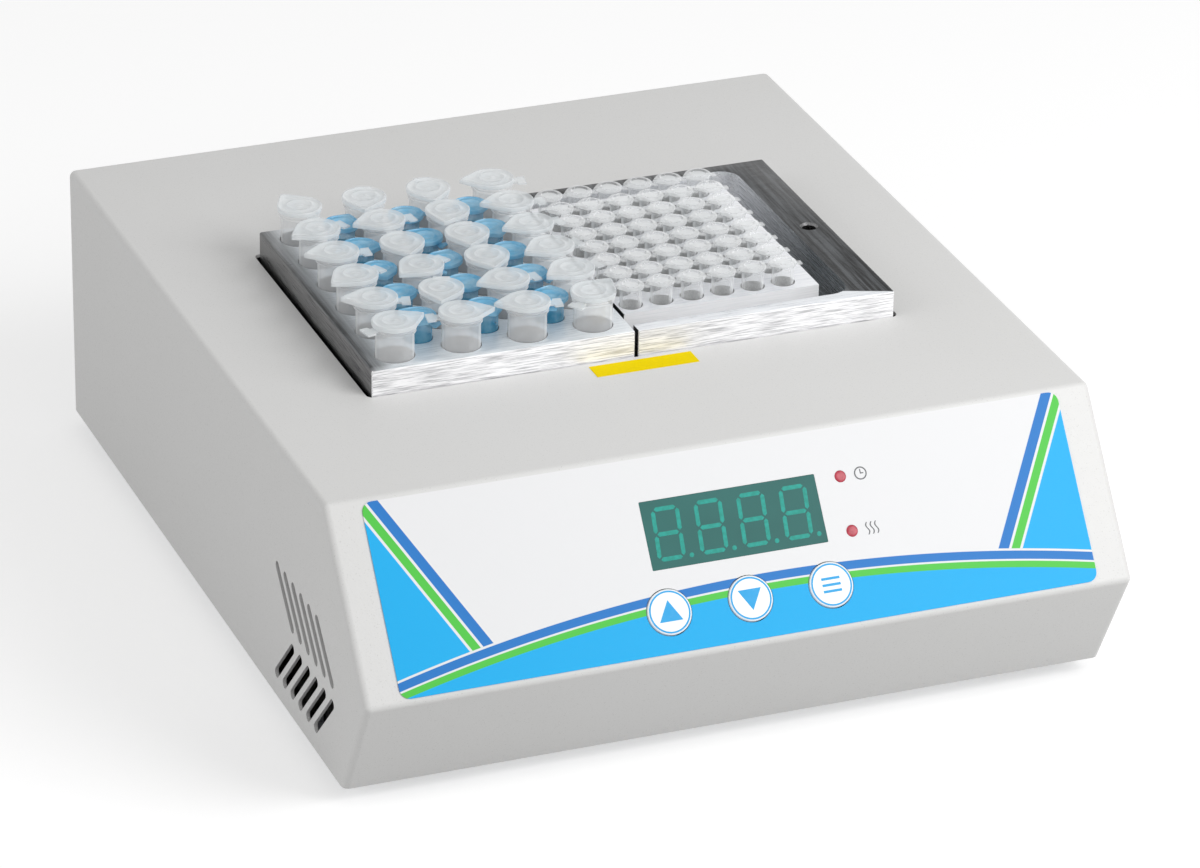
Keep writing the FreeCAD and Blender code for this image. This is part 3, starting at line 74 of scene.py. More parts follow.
# %% Sizes of the cabinet
MM = 0.001
SHARP = 32  # degrees between faces, beyond which an edge stays hard
HALF_WIDTH = 109.0
EDGE_Z = 5.0
DECK_Z = 81.5
DECK_DEPTH = 227.0
BACK_Y = 127.511
CREASE_Y = BACK_Y - DECK_DEPTH
NOSE_Y = CREASE_Y - 33.0
NOSE_Z = EDGE_Z + 32.5
FOOT_Y = NOSE_Y + 18.0
SHEET = 1.0
BLOCK_FRONT = CREASE_Y + 56.0
BLOCK_BACK = BLOCK_FRONT + 95.5
BLOCK_TOP = DECK_Z + 7.5
BLOCK_LOW = BLOCK_TOP - 50.8
SLOPE = math.degrees(math.atan2(44, 33))
PANEL = Matrix.Translation((0, CREASE_Y, DECK_Z)) @ Matrix.Rotation(math.radians(SLOPE), 4, "X")
REAR = (Matrix.Translation((0, BACK_Y, EDGE_Z + 36)) @ Matrix.Rotation(math.pi, 4, "Z")
        @ Matrix.Rotation(math.pi / 2, 4, "X"))
print("deck at", DECK_Z, "top crease at", round(CREASE_Y, 2))

# %% [markdown]
# Every mesh starts as points and faces in millimetres. One helper turns them into an object
# in metres, shades it smooth and keeps hard edges where two faces meet at a sharp angle. That
# gives rounded edges their soft shine without thousands of faces.

# %% Mesh helpers
def make_piece(name, mesh, sharp=SHARP):
    """Put a millimetre mesh into the scene, in metres, smooth between its sharp edges."""
    data = bpy.data.meshes.new(name)
    bmesh.ops.remove_doubles(mesh, verts=mesh.verts, dist=0.0005)
    bmesh.ops.recalc_face_normals(mesh, faces=mesh.faces)
    mesh.transform(Matrix.Scale(MM, 4))
    mesh.to_mesh(data)
    mesh.free()
    piece = add_object(name, data)
    sharpen(piece, sharp)
    return piece


def sharpen(piece, sharp=SHARP):
    piece.data.shade_smooth()
    piece.data.set_sharp_from_angle(angle=math.radians(sharp))


def add_prism(mesh, outline, low, high, place=Matrix()):
    """Extrude a flat outline from low to high, then set it at its place."""
    bottom = [mesh.verts.new(place @ Vector((x, y, low))) for x, y in outline]
    top = [mesh.verts.new(place @ Vector((x, y, high))) for x, y in outline]
    mesh.faces.new(bottom[::-1])
    mesh.faces.new(top)
    count = len(outline)
    for i in range(count):
        j = (i + 1) % count
        mesh.faces.new((bottom[i], bottom[j], top[j], top[i]))


def prism(name, outline, low, high, place=Matrix()):
    mesh = bmesh.new()
    add_prism(mesh, outline, low, high, place)
    return make_piece(name, mesh)


def join_rings(mesh, rings, segments):
    """Lay faces between neighbouring rings of points; a ring of one point closes an end."""
    for first, second in zip(rings, rings[1:]):
        for i in range(segments):
            j = (i + 1) % segments
            if len(first) == 1:
                mesh.faces.new((first[0], second[j], second[i]))
            elif len(second) == 1:
                mesh.faces.new((first[i], first[j], second[0]))
            else:
                mesh.faces.new((first[i], first[j], second[j], second[i]))


def arc(x, y, radius, start, sweep, steps):
    """Points on an arc, whose start and sweep are in degrees."""
    turns = [math.radians(start + sweep * i / steps) for i in range(steps + 1)]
    return [(x + radius * math.cos(turn), y + radius * math.sin(turn)) for turn in turns]


def circle(x, y, radius, steps):
    return arc(x, y, radius, 0, 360, steps)[:-1]


def add_turned(mesh, profile, segments, place=Matrix()):
    """Spin a profile of (radius, height) pairs round Z. Radius 0 closes an end."""
    rings = []
    for radius, height in profile:
        spots = circle(0, 0, radius, segments) if radius else [(0, 0)]
        rings.append([mesh.verts.new(place @ Vector((x, y, height))) for x, y in spots])
    join_rings(mesh, rings, segments)


def turned(name, profile, segments, place=Matrix(), sharp=SHARP):
    mesh = bmesh.new()
    add_turned(mesh, profile, segments, place)
    return make_piece(name, mesh, sharp)


def rounded_box(x_low, x_high, y_low, y_high, radius, steps=6):
    """Outline of a rectangle with round corners."""
    left, right, front, back = x_low + radius, x_high - radius, y_low + radius, y_high - radius
    corners = ((right, back, 0), (left, back, 90), (left, front, 180), (right, front, 270))
    return [spot for x, y, start in corners for spot in arc(x, y, radius, start, 90, steps)]


def apply_modifiers(piece):
    """Bake the live modifiers into the mesh, as plain faces."""
    graph = bpy.context.evaluated_depsgraph_get()
    data = bpy.data.meshes.new_from_object(piece.evaluated_get(graph))
    piece.modifiers.clear()
    piece.data = data


def discard(piece):
    bpy.data.objects.remove(piece)


def cut(piece, cutter):
    """Take the cutter's shape out of the piece."""
    knife = piece.modifiers.new("cut", "BOOLEAN")
    knife.operation = "DIFFERENCE"
    knife.solver = "EXACT"
    knife.object = cutter
    apply_modifiers(piece)
    discard(cutter)
    sharpen(piece)


def bevel_edges(piece, width, segments):
    soft = piece.modifiers.new("bevel", "BEVEL")
    soft.width = width * MM
    soft.segments = segments
    soft.limit_method = "ANGLE"
    soft.angle_limit = math.radians(30)
    apply_modifiers(piece)
    sharpen(piece)


print("edges beyond", SHARP, "degrees stay hard")

# %% [markdown]
# What stands in rows is made with Geometry Nodes. One small tree does it for every row here:
# it sets a copy of a piece on each point, turned by the point's own "turn" value, then makes
# the copies real and gives them their finish. The points come from a plain list of places.

# %% A node tree that sets copies on points
def copy_tree():
    tree = bpy.data.node_groups.new("set_copies", "GeometryNodeTree")
    tree.interface.new_socket(name="Points", in_out="INPUT", socket_type="NodeSocketGeometry")
    piece_in = tree.interface.new_socket(name="Piece", in_out="INPUT", socket_type="NodeSocketObject")
    finish_in = tree.interface.new_socket(name="Finish", in_out="INPUT", socket_type="NodeSocketMaterial")
    tree.interface.new_socket(name="Copies", in_out="OUTPUT", socket_type="NodeSocketGeometry")
    nodes, links = tree.nodes, tree.links
    start = nodes.new("NodeGroupInput")
    info = nodes.new("GeometryNodeObjectInfo")
    turn = nodes.new("GeometryNodeInputNamedAttribute")
    turn.data_type = "FLOAT"
    turn.inputs["Name"].default_value = "turn"
    around = nodes.new("ShaderNodeCombineXYZ")
    place = nodes.new("GeometryNodeInstanceOnPoints")
    real = nodes.new("GeometryNodeRealizeInstances")
    paint = nodes.new("GeometryNodeSetMaterial")
    end = nodes.new("NodeGroupOutput")
    links.new(start.outputs["Piece"], info.inputs["Object"])
    links.new(turn.outputs["Attribute"], around.inputs["Z"])
    links.new(start.outputs["Points"], place.inputs["Points"])
    links.new(info.outputs["Geometry"], place.inputs["Instance"])
    links.new(around.outputs["Vector"], place.inputs["Rotation"])
    links.new(place.outputs["Instances"], real.inputs["Geometry"])
    links.new(real.outputs["Geometry"], paint.inputs["Geometry"])
    links.new(start.outputs["Finish"], paint.inputs["Material"])
    links.new(paint.outputs["Geometry"], end.inputs["Copies"])
    return tree, piece_in.identifier, finish_in.identifier


COPY_TREE, PIECE_INPUT, FINISH_INPUT = copy_tree()


def set_copies(name, master, places, finish=None, sharp=SHARP):
    """places holds (x, y, z, turn in degrees). The master is used up."""
    data = bpy.data.meshes.new(name)
    data.from_pydata([(x * MM, y * MM, z * MM) for x, y, z, _ in places], [], [])
    turns = data.attributes.new("turn", "FLOAT", "POINT")
    for value, (_, _, _, turn) in zip(turns.data, places):
        value.value = math.radians(turn)
    piece = add_object(name, data)
    copier = piece.modifiers.new("copies", "NODES")
    copier.node_group = COPY_TREE
    copier[PIECE_INPUT] = master
    if finish:
        copier[FINISH_INPUT] = finish
    apply_modifiers(piece)
    discard(master)
    sharpen(piece, sharp)
    print(name, len(places), "copies,", len(piece.data.polygons), "faces")
    return piece


# %% [markdown]
# Finishes come from one Principled shader each, with noise on the object's own coordinates to
# break up colour, gloss and relief. A small builder keeps the wiring short. Colours are given
# as they look on a screen and are turned into linear light here.

# %% Finish helpers
def linear(colour):
    return [c / 12.92 if c <= 0.04045 else ((c + 0.055) / 1.055) ** 2.4 for c in colour] + [1.0]


def set_inputs(node, **values):
    """Set a node's inputs by name, with _ for a space."""
    for socket, value in values.items():
        node.inputs[socket.replace("_", " ")].default_value = value
    return node


class Finish:
    """A Principled material with a few shortcuts for its nodes."""

    def __init__(self, name, colour, roughness, **sockets):
        self.material = bpy.data.materials.new(name)
        self.material.use_nodes = True
        self.nodes = self.material.node_tree.nodes
        self.links = self.material.node_tree.links
        self.shader = self.nodes["Principled BSDF"]
        set_inputs(self.shader, Base_Color=linear(colour), Roughness=roughness, **sockets)
        self.coordinates = self.nodes.new("ShaderNodeTexCoord").outputs["Object"]

    def noise(self, scale, detail=2.0, stretch=(1, 1, 1), roughness=0.5):
        """Noise with about `scale` bumps a metre; stretch squeezes it along an axis."""
        mapping = set_inputs(self.nodes.new("ShaderNodeMapping"), Scale=stretch)
        noise = set_inputs(self.nodes.new("ShaderNodeTexNoise"), Scale=scale, Detail=detail,
                           Roughness=roughness)
        self.links.new(self.coordinates, mapping.inputs["Vector"])
        self.links.new(mapping.outputs["Vector"], noise.inputs["Vector"])
        return noise.outputs["Fac"]

    def spread(self, value, low, high, out_low=0.0, out_high=1.0):
        """Stretch a value's range, held between its ends."""
        ramp = set_inputs(self.nodes.new("ShaderNodeMapRange"), From_Min=low, From_Max=high,
                          To_Min=out_low, To_Max=out_high)
        self.links.new(value, ramp.inputs["Value"])
        return ramp.outputs["Result"]

    def maths(self, operation, first, second=None, third=None):
        node = self.nodes.new("ShaderNodeMath")
        node.operation = operation
        for socket, value in zip(node.inputs, (first, second, third)):
            if value is None:
                continue
            if isinstance(value, (int, float)):
                socket.default_value = value
            else:
                self.links.new(value, socket)
        return node.outputs["Value"]

    def mix(self, amount, first, second):
        """Blend two colours; each is a screen colour or a socket."""
        node = self.nodes.new("ShaderNodeMix")
        node.data_type = "RGBA"
        for socket, value in ((node.inputs[6], first), (node.inputs[7], second)):
            if isinstance(value, (list, tuple)):
                socket.default_value = linear(value)
            else:
                self.links.new(value, socket)
        self.links.new(amount, node.inputs[0])
        return node.outputs[2]

    def colour(self, socket):
        self.links.new(socket, self.shader.inputs["Base Color"])

    def gloss(self, socket):
        self.links.new(socket, self.shader.inputs["Roughness"])

    def uneven_gloss(self, scale, detail, low, high):
        self.gloss(self.spread(self.noise(scale, detail), 0.3, 0.7, low, high))

    def mottle(self, scale, detail, low, high, first, second):
        """Let noise, spread from low to high, blend two colours."""
        self.colour(self.mix(self.spread(self.noise(scale, detail), low, high), first, second))

    def relief(self, height, distance, strength):
        """Bumps up to `distance` millimetres high."""
        bump = set_inputs(self.nodes.new("ShaderNodeBump"), Strength=strength,
                          Distance=distance * MM)
        self.links.new(height, bump.inputs["Height"])
        self.links.new(bump.outputs["Normal"], self.shader.inputs["Normal"])


def dress(piece, finish):
    piece.data.materials.clear()
    piece.data.materials.append(finish.material if isinstance(finish, Finish) else finish)
    return piece


print("mid grey in linear light", round(linear([0.5])[0], 3))

# %% [markdown]
# The cabinet is powder coated. Up close such a coat is a fine orange peel with faint darker
# specks, and the colour drifts by a percent or two over a wide panel.

# %% Powder coat
coat = Finish("pale_grey_powder_coat", (0.842, 0.841, 0.836), 0.46)
speck = coat.spread(coat.noise(2600, 1.0), 0.66, 0.74, 0.0, 0.45)
drift = coat.spread(coat.noise(9, 3.0), 0.35, 0.65, 0.0, 0.5)
base = coat.mix(drift, (0.848, 0.847, 0.843), (0.836, 0.835, 0.829))
coat.colour(coat.mix(speck, base, (0.69, 0.685, 0.675)))
coat.uneven_gloss(1500, 2.0, 0.42, 0.56)
coat.relief(coat.noise(1100, 3.0), 0.05, 0.5)
print(coat.material.name, len(coat.nodes), "nodes")

# %% [markdown]
# The cover is one bent sheet: back, deck, sloping panel and nose, with two sides. In metal it
# is folded and its corners are welded and ground round. Here its profile is drawn with the
# bend arcs in it, pulled out to the full width, and the two side rims are bevelled. The
# inside, the openings and the slits are then cut away.

# %% Cover outline
def profile_arc(before, corner, after, radius, steps=7):
    """Round one corner of a polygon."""
    into = (corner - before).normalized()
    out = (after - corner).normalized()
    turn = into.angle(out)
    reach = radius * math.tan(turn / 2)
    inward = (out - into).normalized()
    centre = corner + inward * (radius / math.cos(turn / 2))
    first = corner - into * reach - centre
    axis = first.cross(corner + out * reach - centre).normalized()
    return [centre + Matrix.Rotation(turn * i / steps, 3, axis) @ first for i in range(steps + 1)]


def cover_profile(inset, radius):
    """Outline in Y and Z, shrunk by the inset, from the back's lower edge round to the nose."""
    corners = [(BACK_Y, EDGE_Z), (BACK_Y, DECK_Z), (CREASE_Y, DECK_Z), (NOSE_Y, NOSE_Z),
               (FOOT_Y, EDGE_Z)]
    lines = []
    for (y0, z0), (y1, z1) in zip(corners, corners[1:]):
        along = Vector((y1 - y0, z1 - z0)).normalized()
        inside = Vector((-along.y, along.x))
        lines.append((Vector((y0, z0)) + inside * inset, along))
    points = [Vector((lines[0][0].x, EDGE_Z, 0))]
    for (spot, way), (beyond, turned_way) in zip(lines, lines[1:]):
        gap = beyond - spot
        reach = ((gap.x * turned_way.y - gap.y * turned_way.x)
                 / (way.x * turned_way.y - way.y * turned_way.x))
        points.append(Vector((spot.x + way.x * reach, spot.y + way.y * reach, 0)))
    spot, way = lines[-1]
    points.append(Vector((spot.x + way.x * (EDGE_Z - spot.y) / way.y, EDGE_Z, 0)))
    outline = [points[0]]
    for i in range(1, len(points) - 1):
        outline += profile_arc(points[i - 1], points[i], points[i + 1], radius)
    outline.append(points[-1])
    return [(point.x, point.y) for point in outline]


# ACROSS stands an outline in the Y-Z plane, so that it is pulled out along X.
ACROSS = Matrix(((0, 0, 1, 0), (1, 0, 0, 0), (0, 1, 0, 0), (0, 0, 0, 1)))
BEND_OUTSIDE, BEND_INSIDE, RIM_BEVEL = 2.0, 0.8, 1.9
cover = prism("cover", cover_profile(0, BEND_OUTSIDE), -HALF_WIDTH, HALF_WIDTH, ACROSS)
rims = bmesh.new()
rims.from_mesh(cover.data)
side_edges = [e for e in rims.edges
              if abs(abs(e.verts[0].co.x) - HALF_WIDTH * MM) < 1e-6
              and abs(e.verts[0].co.x - e.verts[1].co.x) < 1e-6
              and max(v.co.z for v in e.verts) > (EDGE_Z + 0.01) * MM]
bmesh.ops.bevel(rims, geom=side_edges, offset=RIM_BEVEL * MM, segments=5, profile=0.5,
                affect="EDGES", clamp_overlap=False)
rims.to_mesh(cover.data)
rims.free()
hollow = cover_profile(SHEET, BEND_INSIDE)
lowest = [(hollow[0][0], EDGE_Z - 5)] + hollow + [(hollow[-1][0], EDGE_Z - 5)]
cut(cover, prism("hollow", lowest, SHEET - HALF_WIDTH, HALF_WIDTH - SHEET, ACROSS))
print("cover", len(cover.data.polygons), "faces")

# %% [markdown]
# Air enters through two rows of slits in each side that point forwards like chevrons. A slit
# is punched, so its ends are half round. One slit of each row is drawn, set six times by the
# copying tree and pushed through both sides at once.

# %% Slits, deck opening, panel and back openings
def slot_outline(y0, z0, y1, z1, width, steps=8):
    heading = math.degrees(math.atan2(z1 - z0, y1 - y0))
    return (arc(y0, z0, width / 2, heading + 90, 180, steps)
            + arc(y1, z1, width / 2, heading - 90, 180, steps))


SLIT_WIDTH, SLIT_STEP, SLIT_COUNT = 2.9, 6.5, 6
SLIT_ENDS = ((-0.83, 40.0, -12.67, 27.2), (-12.78, 21.0, 0.72, 7.0))
first_slit = BACK_Y - 188.0
through = HALF_WIDTH + 11
for y0, z0, y1, z1 in SLIT_ENDS:
    slit = prism("slit", slot_outline(y0, z0, y1, z1, SLIT_WIDTH), -through, through, ACROSS)
    cut(cover, set_copies("slits", slit, [(0, first_slit - SLIT_STEP * i, EDGE_Z, 0)
                                          for i in range(SLIT_COUNT)]))

WELL_SIDE = 77.3
WELL_FRONT = BLOCK_FRONT - 0.5
WELL_BACK = BLOCK_BACK + 1.5
cut(cover, prism("well_opening", rounded_box(-WELL_SIDE, WELL_SIDE, WELL_FRONT, WELL_BACK, 2.0),
                 DECK_Z - 8, DECK_Z + 8))

# Places on the panel are measured across it, and up the slope from the crease.
KEYS = [(-22.3, -42.7), (0.7, -42.7), (23.7, -42.7)]
KEY_HOLE = 6.4
LAMPS = [(32.8, -14.5), (32.8, -29.4)]
WINDOW = (-24.4, 25.6, -31.3, -12.7)


def window_outline(grow, corner):
    """The window's rectangle, grown by the same distance on every side."""
    left, right, low, high = WINDOW
    return rounded_box(left - grow, right + grow, low - grow, high + grow, corner, 2)


def panel_holes(name, window_gap, window_corner, lamp_hole, low, high):
    """Cutters for the window, the keys and the lamps, in one mesh."""
    holes = bmesh.new()
    add_prism(holes, window_outline(window_gap, window_corner), low, high, PANEL)
    for x, y in KEYS:
        add_prism(holes, circle(x, y, KEY_HOLE, 40), low, high, PANEL)
    for x, y in LAMPS:
        add_prism(holes, circle(x, y, lamp_hole, 20), low, high, PANEL)
    return make_piece(name, holes)


cut(cover, panel_holes("panel_openings", 0.4, 0.4, 1.7, -6, 4))
INLET_X, SWITCH_X = 62, 24
backs = bmesh.new()
for x, half_wide, half_tall in ((INLET_X, 13.7, 15.7), (SWITCH_X, 6.6, 9.7)):
    add_prism(backs, rounded_box(x - half_wide, x + half_wide, -half_tall, half_tall, 0.4, 2),
              -5, 5, REAR)
for side in (-20, 20):
    add_prism(backs, circle(INLET_X + side, 0, 1.6, 16), -5, 5, REAR)
cut(cover, make_piece("back_openings", backs))
dress(cover, coat)
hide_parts("top_cover")
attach(cover, "cabinet")
print("cover", len(cover.data.polygons), "faces after the cuts")

# %% [markdown]
# The label is a printed polyester film, matt with a faint grain, stuck on the slope. Its print
# is made of plain fields and bands in white, cyan, blue and green, drawn by arithmetic on a UV
# map that counts millimetres across and down the slope.

# %% Label film
UV_UNIT = 100


def panel_uv(piece):
    """UV in units of 100 mm: across the panel, and up the slope."""
    layer = piece.data.uv_layers.new(name="panel")
    back = (Matrix.Scale(MM, 4) @ PANEL).inverted()
    for loop in piece.data.loops:
        spot = back @ piece.data.vertices[loop.vertex_index].co
        layer.data[loop.index].uv = (spot.x / UV_UNIT, spot.y / UV_UNIT)


film = Finish("printed_label_film", (0.93, 0.94, 0.95), 0.34, Specular_IOR_Level=0.15)
uv = film.nodes.new("ShaderNodeUVMap")
uv.uv_map = "panel"
split = film.nodes.new("ShaderNodeSeparateXYZ")
film.links.new(uv.outputs["UV"], split.inputs["Vector"])
across = film.maths("MULTIPLY", split.outputs["X"], UV_UNIT)
down = film.maths("MULTIPLY", split.outputs["Y"], -UV_UNIT)
INK_BORDER = 0.06


def beyond(value, edge):
    """1 where the value passes the edge, with a thin soft border like real ink."""
    return film.spread(value, edge - INK_BORDER, edge + INK_BORDER)


WHITE, CYAN = (0.89, 0.892, 0.897), (0.02, 0.67, 0.91)
BLUE, GREEN = (0.12, 0.46, 0.76), (0.31, 0.76, 0.27)
LOW_BANDS = ((36.6, BLUE), (38.9, WHITE), (39.4, GREEN), (41.2, CYAN))
SIDE_BANDS = ((95.0, BLUE), (98.2, WHITE), (99.0, GREEN), (101.6, WHITE), (102.4, CYAN))
SIDE_BANDS_END = 36.0
off_middle = film.maths("ABSOLUTE", film.maths("ADD", across, -8))
hill = film.maths("MULTIPLY", film.maths("POWER", off_middle, 2.0), 0.0011)
height = film.maths("SUBTRACT", down, hill)
ink = WHITE
for edge, field in LOW_BANDS:
    ink = film.mix(beyond(height, edge), ink, field)
lean = film.maths("MULTIPLY_ADD", down, 0.55, film.maths("ABSOLUTE", across))
upper = film.maths("SUBTRACT", 1.0, beyond(height, SIDE_BANDS_END))
for edge, field in SIDE_BANDS:
    here = film.maths("MULTIPLY", beyond(lean, edge), upper)
    ink = film.mix(here, ink, field)
film.colour(ink)
film.uneven_gloss(3000, 1.0, 0.30, 0.38)
film.relief(film.noise(4200, 1.0), 0.01, 0.35)

label = prism("label", rounded_box(-99, 99, -53.6, -1.1, 2.8), 0.02, 0.3, PANEL)
cut(label, panel_holes("label_holes", 0, 0.3, 1.65, -1, 2))
panel_uv(label)
dress(label, film)
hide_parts("panel_label")
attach(label, "cabinet")
print("label", len(label.data.polygons), "faces,", len(film.nodes), "nodes in its print")

# %% [markdown]
# Behind a tinted window four digits wait unlit. Each is seven bars and a point that still show
# as paler shapes in the plastic. One bar is a long six-sided flat; a digit is seven of them,
# leaning a little to the right, as numerals on such displays do.

# %% Display window and its unlit digits
tint = Finish("teal_window", (0.09, 0.37, 0.35), 0.3, Specular_IOR_Level=0.15)
tint.mottle(60, 2.0, 0.3, 0.7, (0.08, 0.355, 0.335), (0.10, 0.385, 0.365))
bars = Finish("unlit_digit", (0.02, 0.58, 0.53), 0.3, Specular_IOR_Level=0.15)
bars.mottle(900, 1.0, 0.35, 0.65, (0.01, 0.555, 0.50), (0.04, 0.61, 0.56))
window = prism("window", window_outline(-0.05, 0.3), 0.0, 0.24, PANEL)
dress(window, tint)
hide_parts("display_window")
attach(window, "cabinet")


def bar_outline(x, y, length, width, upright):
    half, side = length / 2, width / 2
    shape = [(-half, 0), (-half + side, -side), (half - side, -side), (half, 0), (half - side, side),
             (-half + side, side)]
    if upright:
        shape = [(-b, a) for a, b in shape]
    return [(x + a, y + b) for a, b in shape]


DIGIT_COUNT, DIGIT_STEP, DIGIT_WIDE, DIGIT_TALL = 4, 12.1, 6.8, 13.4
DIGITS_X, DIGITS_Y, LEAN = 0.2, -22.0, 0.06
BAR, BAR_GAP, POINT = 1.15, 0.7, 0.65
shapes = [bar_outline(0, y, DIGIT_WIDE - BAR_GAP, BAR, False)
          for y in (-DIGIT_TALL / 2, 0, DIGIT_TALL / 2)]
shapes += [bar_outline(x, y, DIGIT_TALL / 2 - BAR_GAP, BAR, True)
           for x in (-DIGIT_WIDE / 2, DIGIT_WIDE / 2) for y in (-DIGIT_TALL / 4, DIGIT_TALL / 4)]
shapes.append(circle(DIGIT_WIDE / 2 + 2.2, -DIGIT_TALL / 2, POINT, 14))
digits = bmesh.new()
for n in range(DIGIT_COUNT):
    middle_x = DIGITS_X + DIGIT_STEP * (n - (DIGIT_COUNT - 1) / 2)
    for shape in shapes:
        leaning = [(middle_x + x + LEAN * y, DIGITS_Y + y) for x, y in shape]
        add_prism(digits, leaning, 0.245, 0.27, PANEL)
unlit = make_piece("unlit_digits", digits)
dress(unlit, bars)
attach(unlit, "cabinet")
print(DIGIT_COUNT, "digits of", len(shapes), "shapes each")

# %% [markdown]
# The keys are white moulded caps with a soft rim. A cyan ring and a sign are printed on top:
# one arrow up, one down, and three short lines for the menu. The two lamps are dull red when
# they are off; small signs beside them stand for time and for heat.

# %% Keys, lamps and their signs
key_white = Finish("white_key", (0.93, 0.94, 0.95), 0.3)
key_white.relief(key_white.noise(1800, 1.0), 0.01, 0.3)
key_white.uneven_gloss(500, 1.0, 0.27, 0.36)
key_ink = Finish("cyan_key_print", (0.16, 0.64, 0.88), 0.36, Specular_IOR_Level=0.2)
key_ink.uneven_gloss(900, 1.0, 0.32, 0.42)
grey_ink = Finish("grey_sign_print", (0.27, 0.28, 0.30), 0.4)
grey_ink.uneven_gloss(900, 1.0, 0.36, 0.46)
CAP = [(0, -7.0), (6.15, -7.0), (6.15, 0.45), (6.02, 0.66), (5.75, 0.77), (5.2, 0.79), (3.0, 0.77),
       (0, 0.75)]
LENS = [(0, -8.3), (1.6, -8.3), (1.6, 0.28), (1.45, 0.36), (0.8, 0.40), (0, 0.41)]


def add_ring(mesh, x, y, inner, outer, low, high, steps):
    profile = [(inner, low), (outer, low), (outer, high), (inner, high), (inner, low)]
    add_turned(mesh, profile, steps, PANEL @ Matrix.Translation((x, y, 0)))


signs = {
    "up_key": [[(-3.3, -2.5), (3.3, -2.5), (0, 3.2)]],
    "down_key": [[(-3.3, 2.5), (0, -3.2), (3.3, 2.5)]],
    "mode_key": [[(-2.6, y - 0.35), (2.6, y - 0.35), (2.6, y + 0.35), (-2.6, y + 0.35)]
                 for y in (-1.7, 0, 1.7)]}
for (node, shapes), (x, y) in zip(signs.items(), KEYS):
    at_key = PANEL @ Matrix.Translation((x, y, 0))
    cap = dress(turned(node + "_cap", CAP, 48, at_key), key_white)
    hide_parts(node)
    marks = bmesh.new()
    add_ring(marks, x, y, 5.25, 5.72, 0.77, 0.80, 48)
    for shape in shapes:
        add_prism(marks, shape, 0.765, 0.80, at_key)
    sign = dress(make_piece(node + "_sign", marks), key_ink)
    for piece in (cap, sign):
        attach(piece, node + "_cap")

lamp_red = Finish("unlit_red_lamp", (0.70, 0.25, 0.31), 0.3, Specular_IOR_Level=0.3)
lamp_red.mottle(700, 1.0, 0.35, 0.65, (0.66, 0.21, 0.27), (0.74, 0.29, 0.35))
lenses = bmesh.new()
for x, y in LAMPS:
    add_turned(lenses, LENS, 24, PANEL @ Matrix.Translation((x, y, 0)))
lamps = dress(make_piece("lamps", lenses), lamp_red)
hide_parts("status_lamps")
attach(lamps, "cabinet")

SIGN_X, INK_LOW, INK_HIGH = 38.6, 0.31, 0.33
WAVE_TALL, WAVE_SWAY, WAVE_HALF, WAVE_STEPS = 3.4, 0.38, 0.17, 12
small_signs = bmesh.new()
y = LAMPS[0][1]
add_ring(small_signs, SIGN_X, y, 1.45, 1.8, INK_LOW, INK_HIGH, 32)
for hand in ([(-0.14, -0.1), (0.14, -0.1), (0.14, 1.15), (-0.14, 1.15)],
             [(-0.1, -0.14), (0.85, -0.14), (0.85, 0.14), (-0.1, 0.14)]):
    add_prism(small_signs, [(SIGN_X + a, y + b) for a, b in hand], INK_LOW, INK_HIGH, PANEL)
y = LAMPS[1][1]
for offset in (-1.3, 0, 1.3):
    left, right = [], []
    for i in range(WAVE_STEPS + 1):
        rise = WAVE_TALL * (i / WAVE_STEPS - 0.5)
        sway = WAVE_SWAY * math.sin(2 * math.pi * i / WAVE_STEPS)
        left.append((SIGN_X + offset + sway - WAVE_HALF, y + rise))
        right.append((SIGN_X + offset + sway + WAVE_HALF, y + rise))
    add_prism(small_signs, right + left[::-1], INK_LOW, INK_HIGH, PANEL)
beside = dress(make_piece("lamp_signs", small_signs), grey_ink)
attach(beside, "cabinet")
print(len(KEYS), "keys and", len(LAMPS), "lamps; signs have", len(beside.data.polygons), "faces")

# %% [markdown]
# The blocks are sawn from aluminium bar and brushed. Brushing leaves fine parallel scratches,
# so the noise is stretched up to a hundredfold along them, and it moves colour, gloss and
# relief. The faces that look at the studio's front are painted bright as painted light, and the
# sides darker as painted shade. The right block's outer rim is brushed lengthwise and painted
# dark as a painted reflection; it meets the front rim at a mitre, where the tone changes at once.
# On the left block a painted dark reflection darkens the top softly towards the outer side.

# %% Brushed aluminium
def brushed(name, colour, dark, stretch, rough=(0.22, 0.42), metallic=1.0):
    metal = Finish(name, colour, 0.32, Metallic=metallic)
    lines = metal.noise(8000, 3.0, stretch, 0.65)
    metal.colour(metal.mix(metal.spread(lines, 0.36, 0.58), dark, colour))
    metal.gloss(metal.spread(lines, 0.25, 0.75, *rough))
    metal.relief(lines, 0.012, 0.5)
    return metal


def add_painted_reflection_strips(metal, tone, stretch, boundary, soft=0.25):
    """Paint darker strips, a painted dark reflection, where boundary, worked out from x and y in
    millimetres, is above zero.
    """
    spot = metal.nodes.new("ShaderNodeSeparateXYZ")
    metal.links.new(metal.coordinates, spot.inputs["Vector"])
    x = metal.maths("MULTIPLY", spot.outputs["X"], 1000)
    y = metal.maths("MULTIPLY", spot.outputs["Y"], 1000)
    inside = metal.spread(boundary(metal, x, y), -soft, soft)
    lines = metal.noise(2400, 4.0, stretch, 0.8)
    darker, paler = [c * 0.75 for c in tone], [c * 2.1 for c in tone]
    strip = metal.mix(metal.spread(lines, 0.40, 0.62), darker, paler)
    field = metal.shader.inputs["Base Color"].links[0].from_socket
    metal.colour(metal.mix(inside, field, strip))


# Sizes that the blocks share with their finishes
BLOCK_SIDE = 76.0
SIDE_RIM, END_RIM, MOAT_WIDE = 10.9, 4, 7
MOAT_EDGE = BLOCK_SIDE - SIDE_RIM
ISLAND_EDGE = MOAT_EDGE - MOAT_WIDE


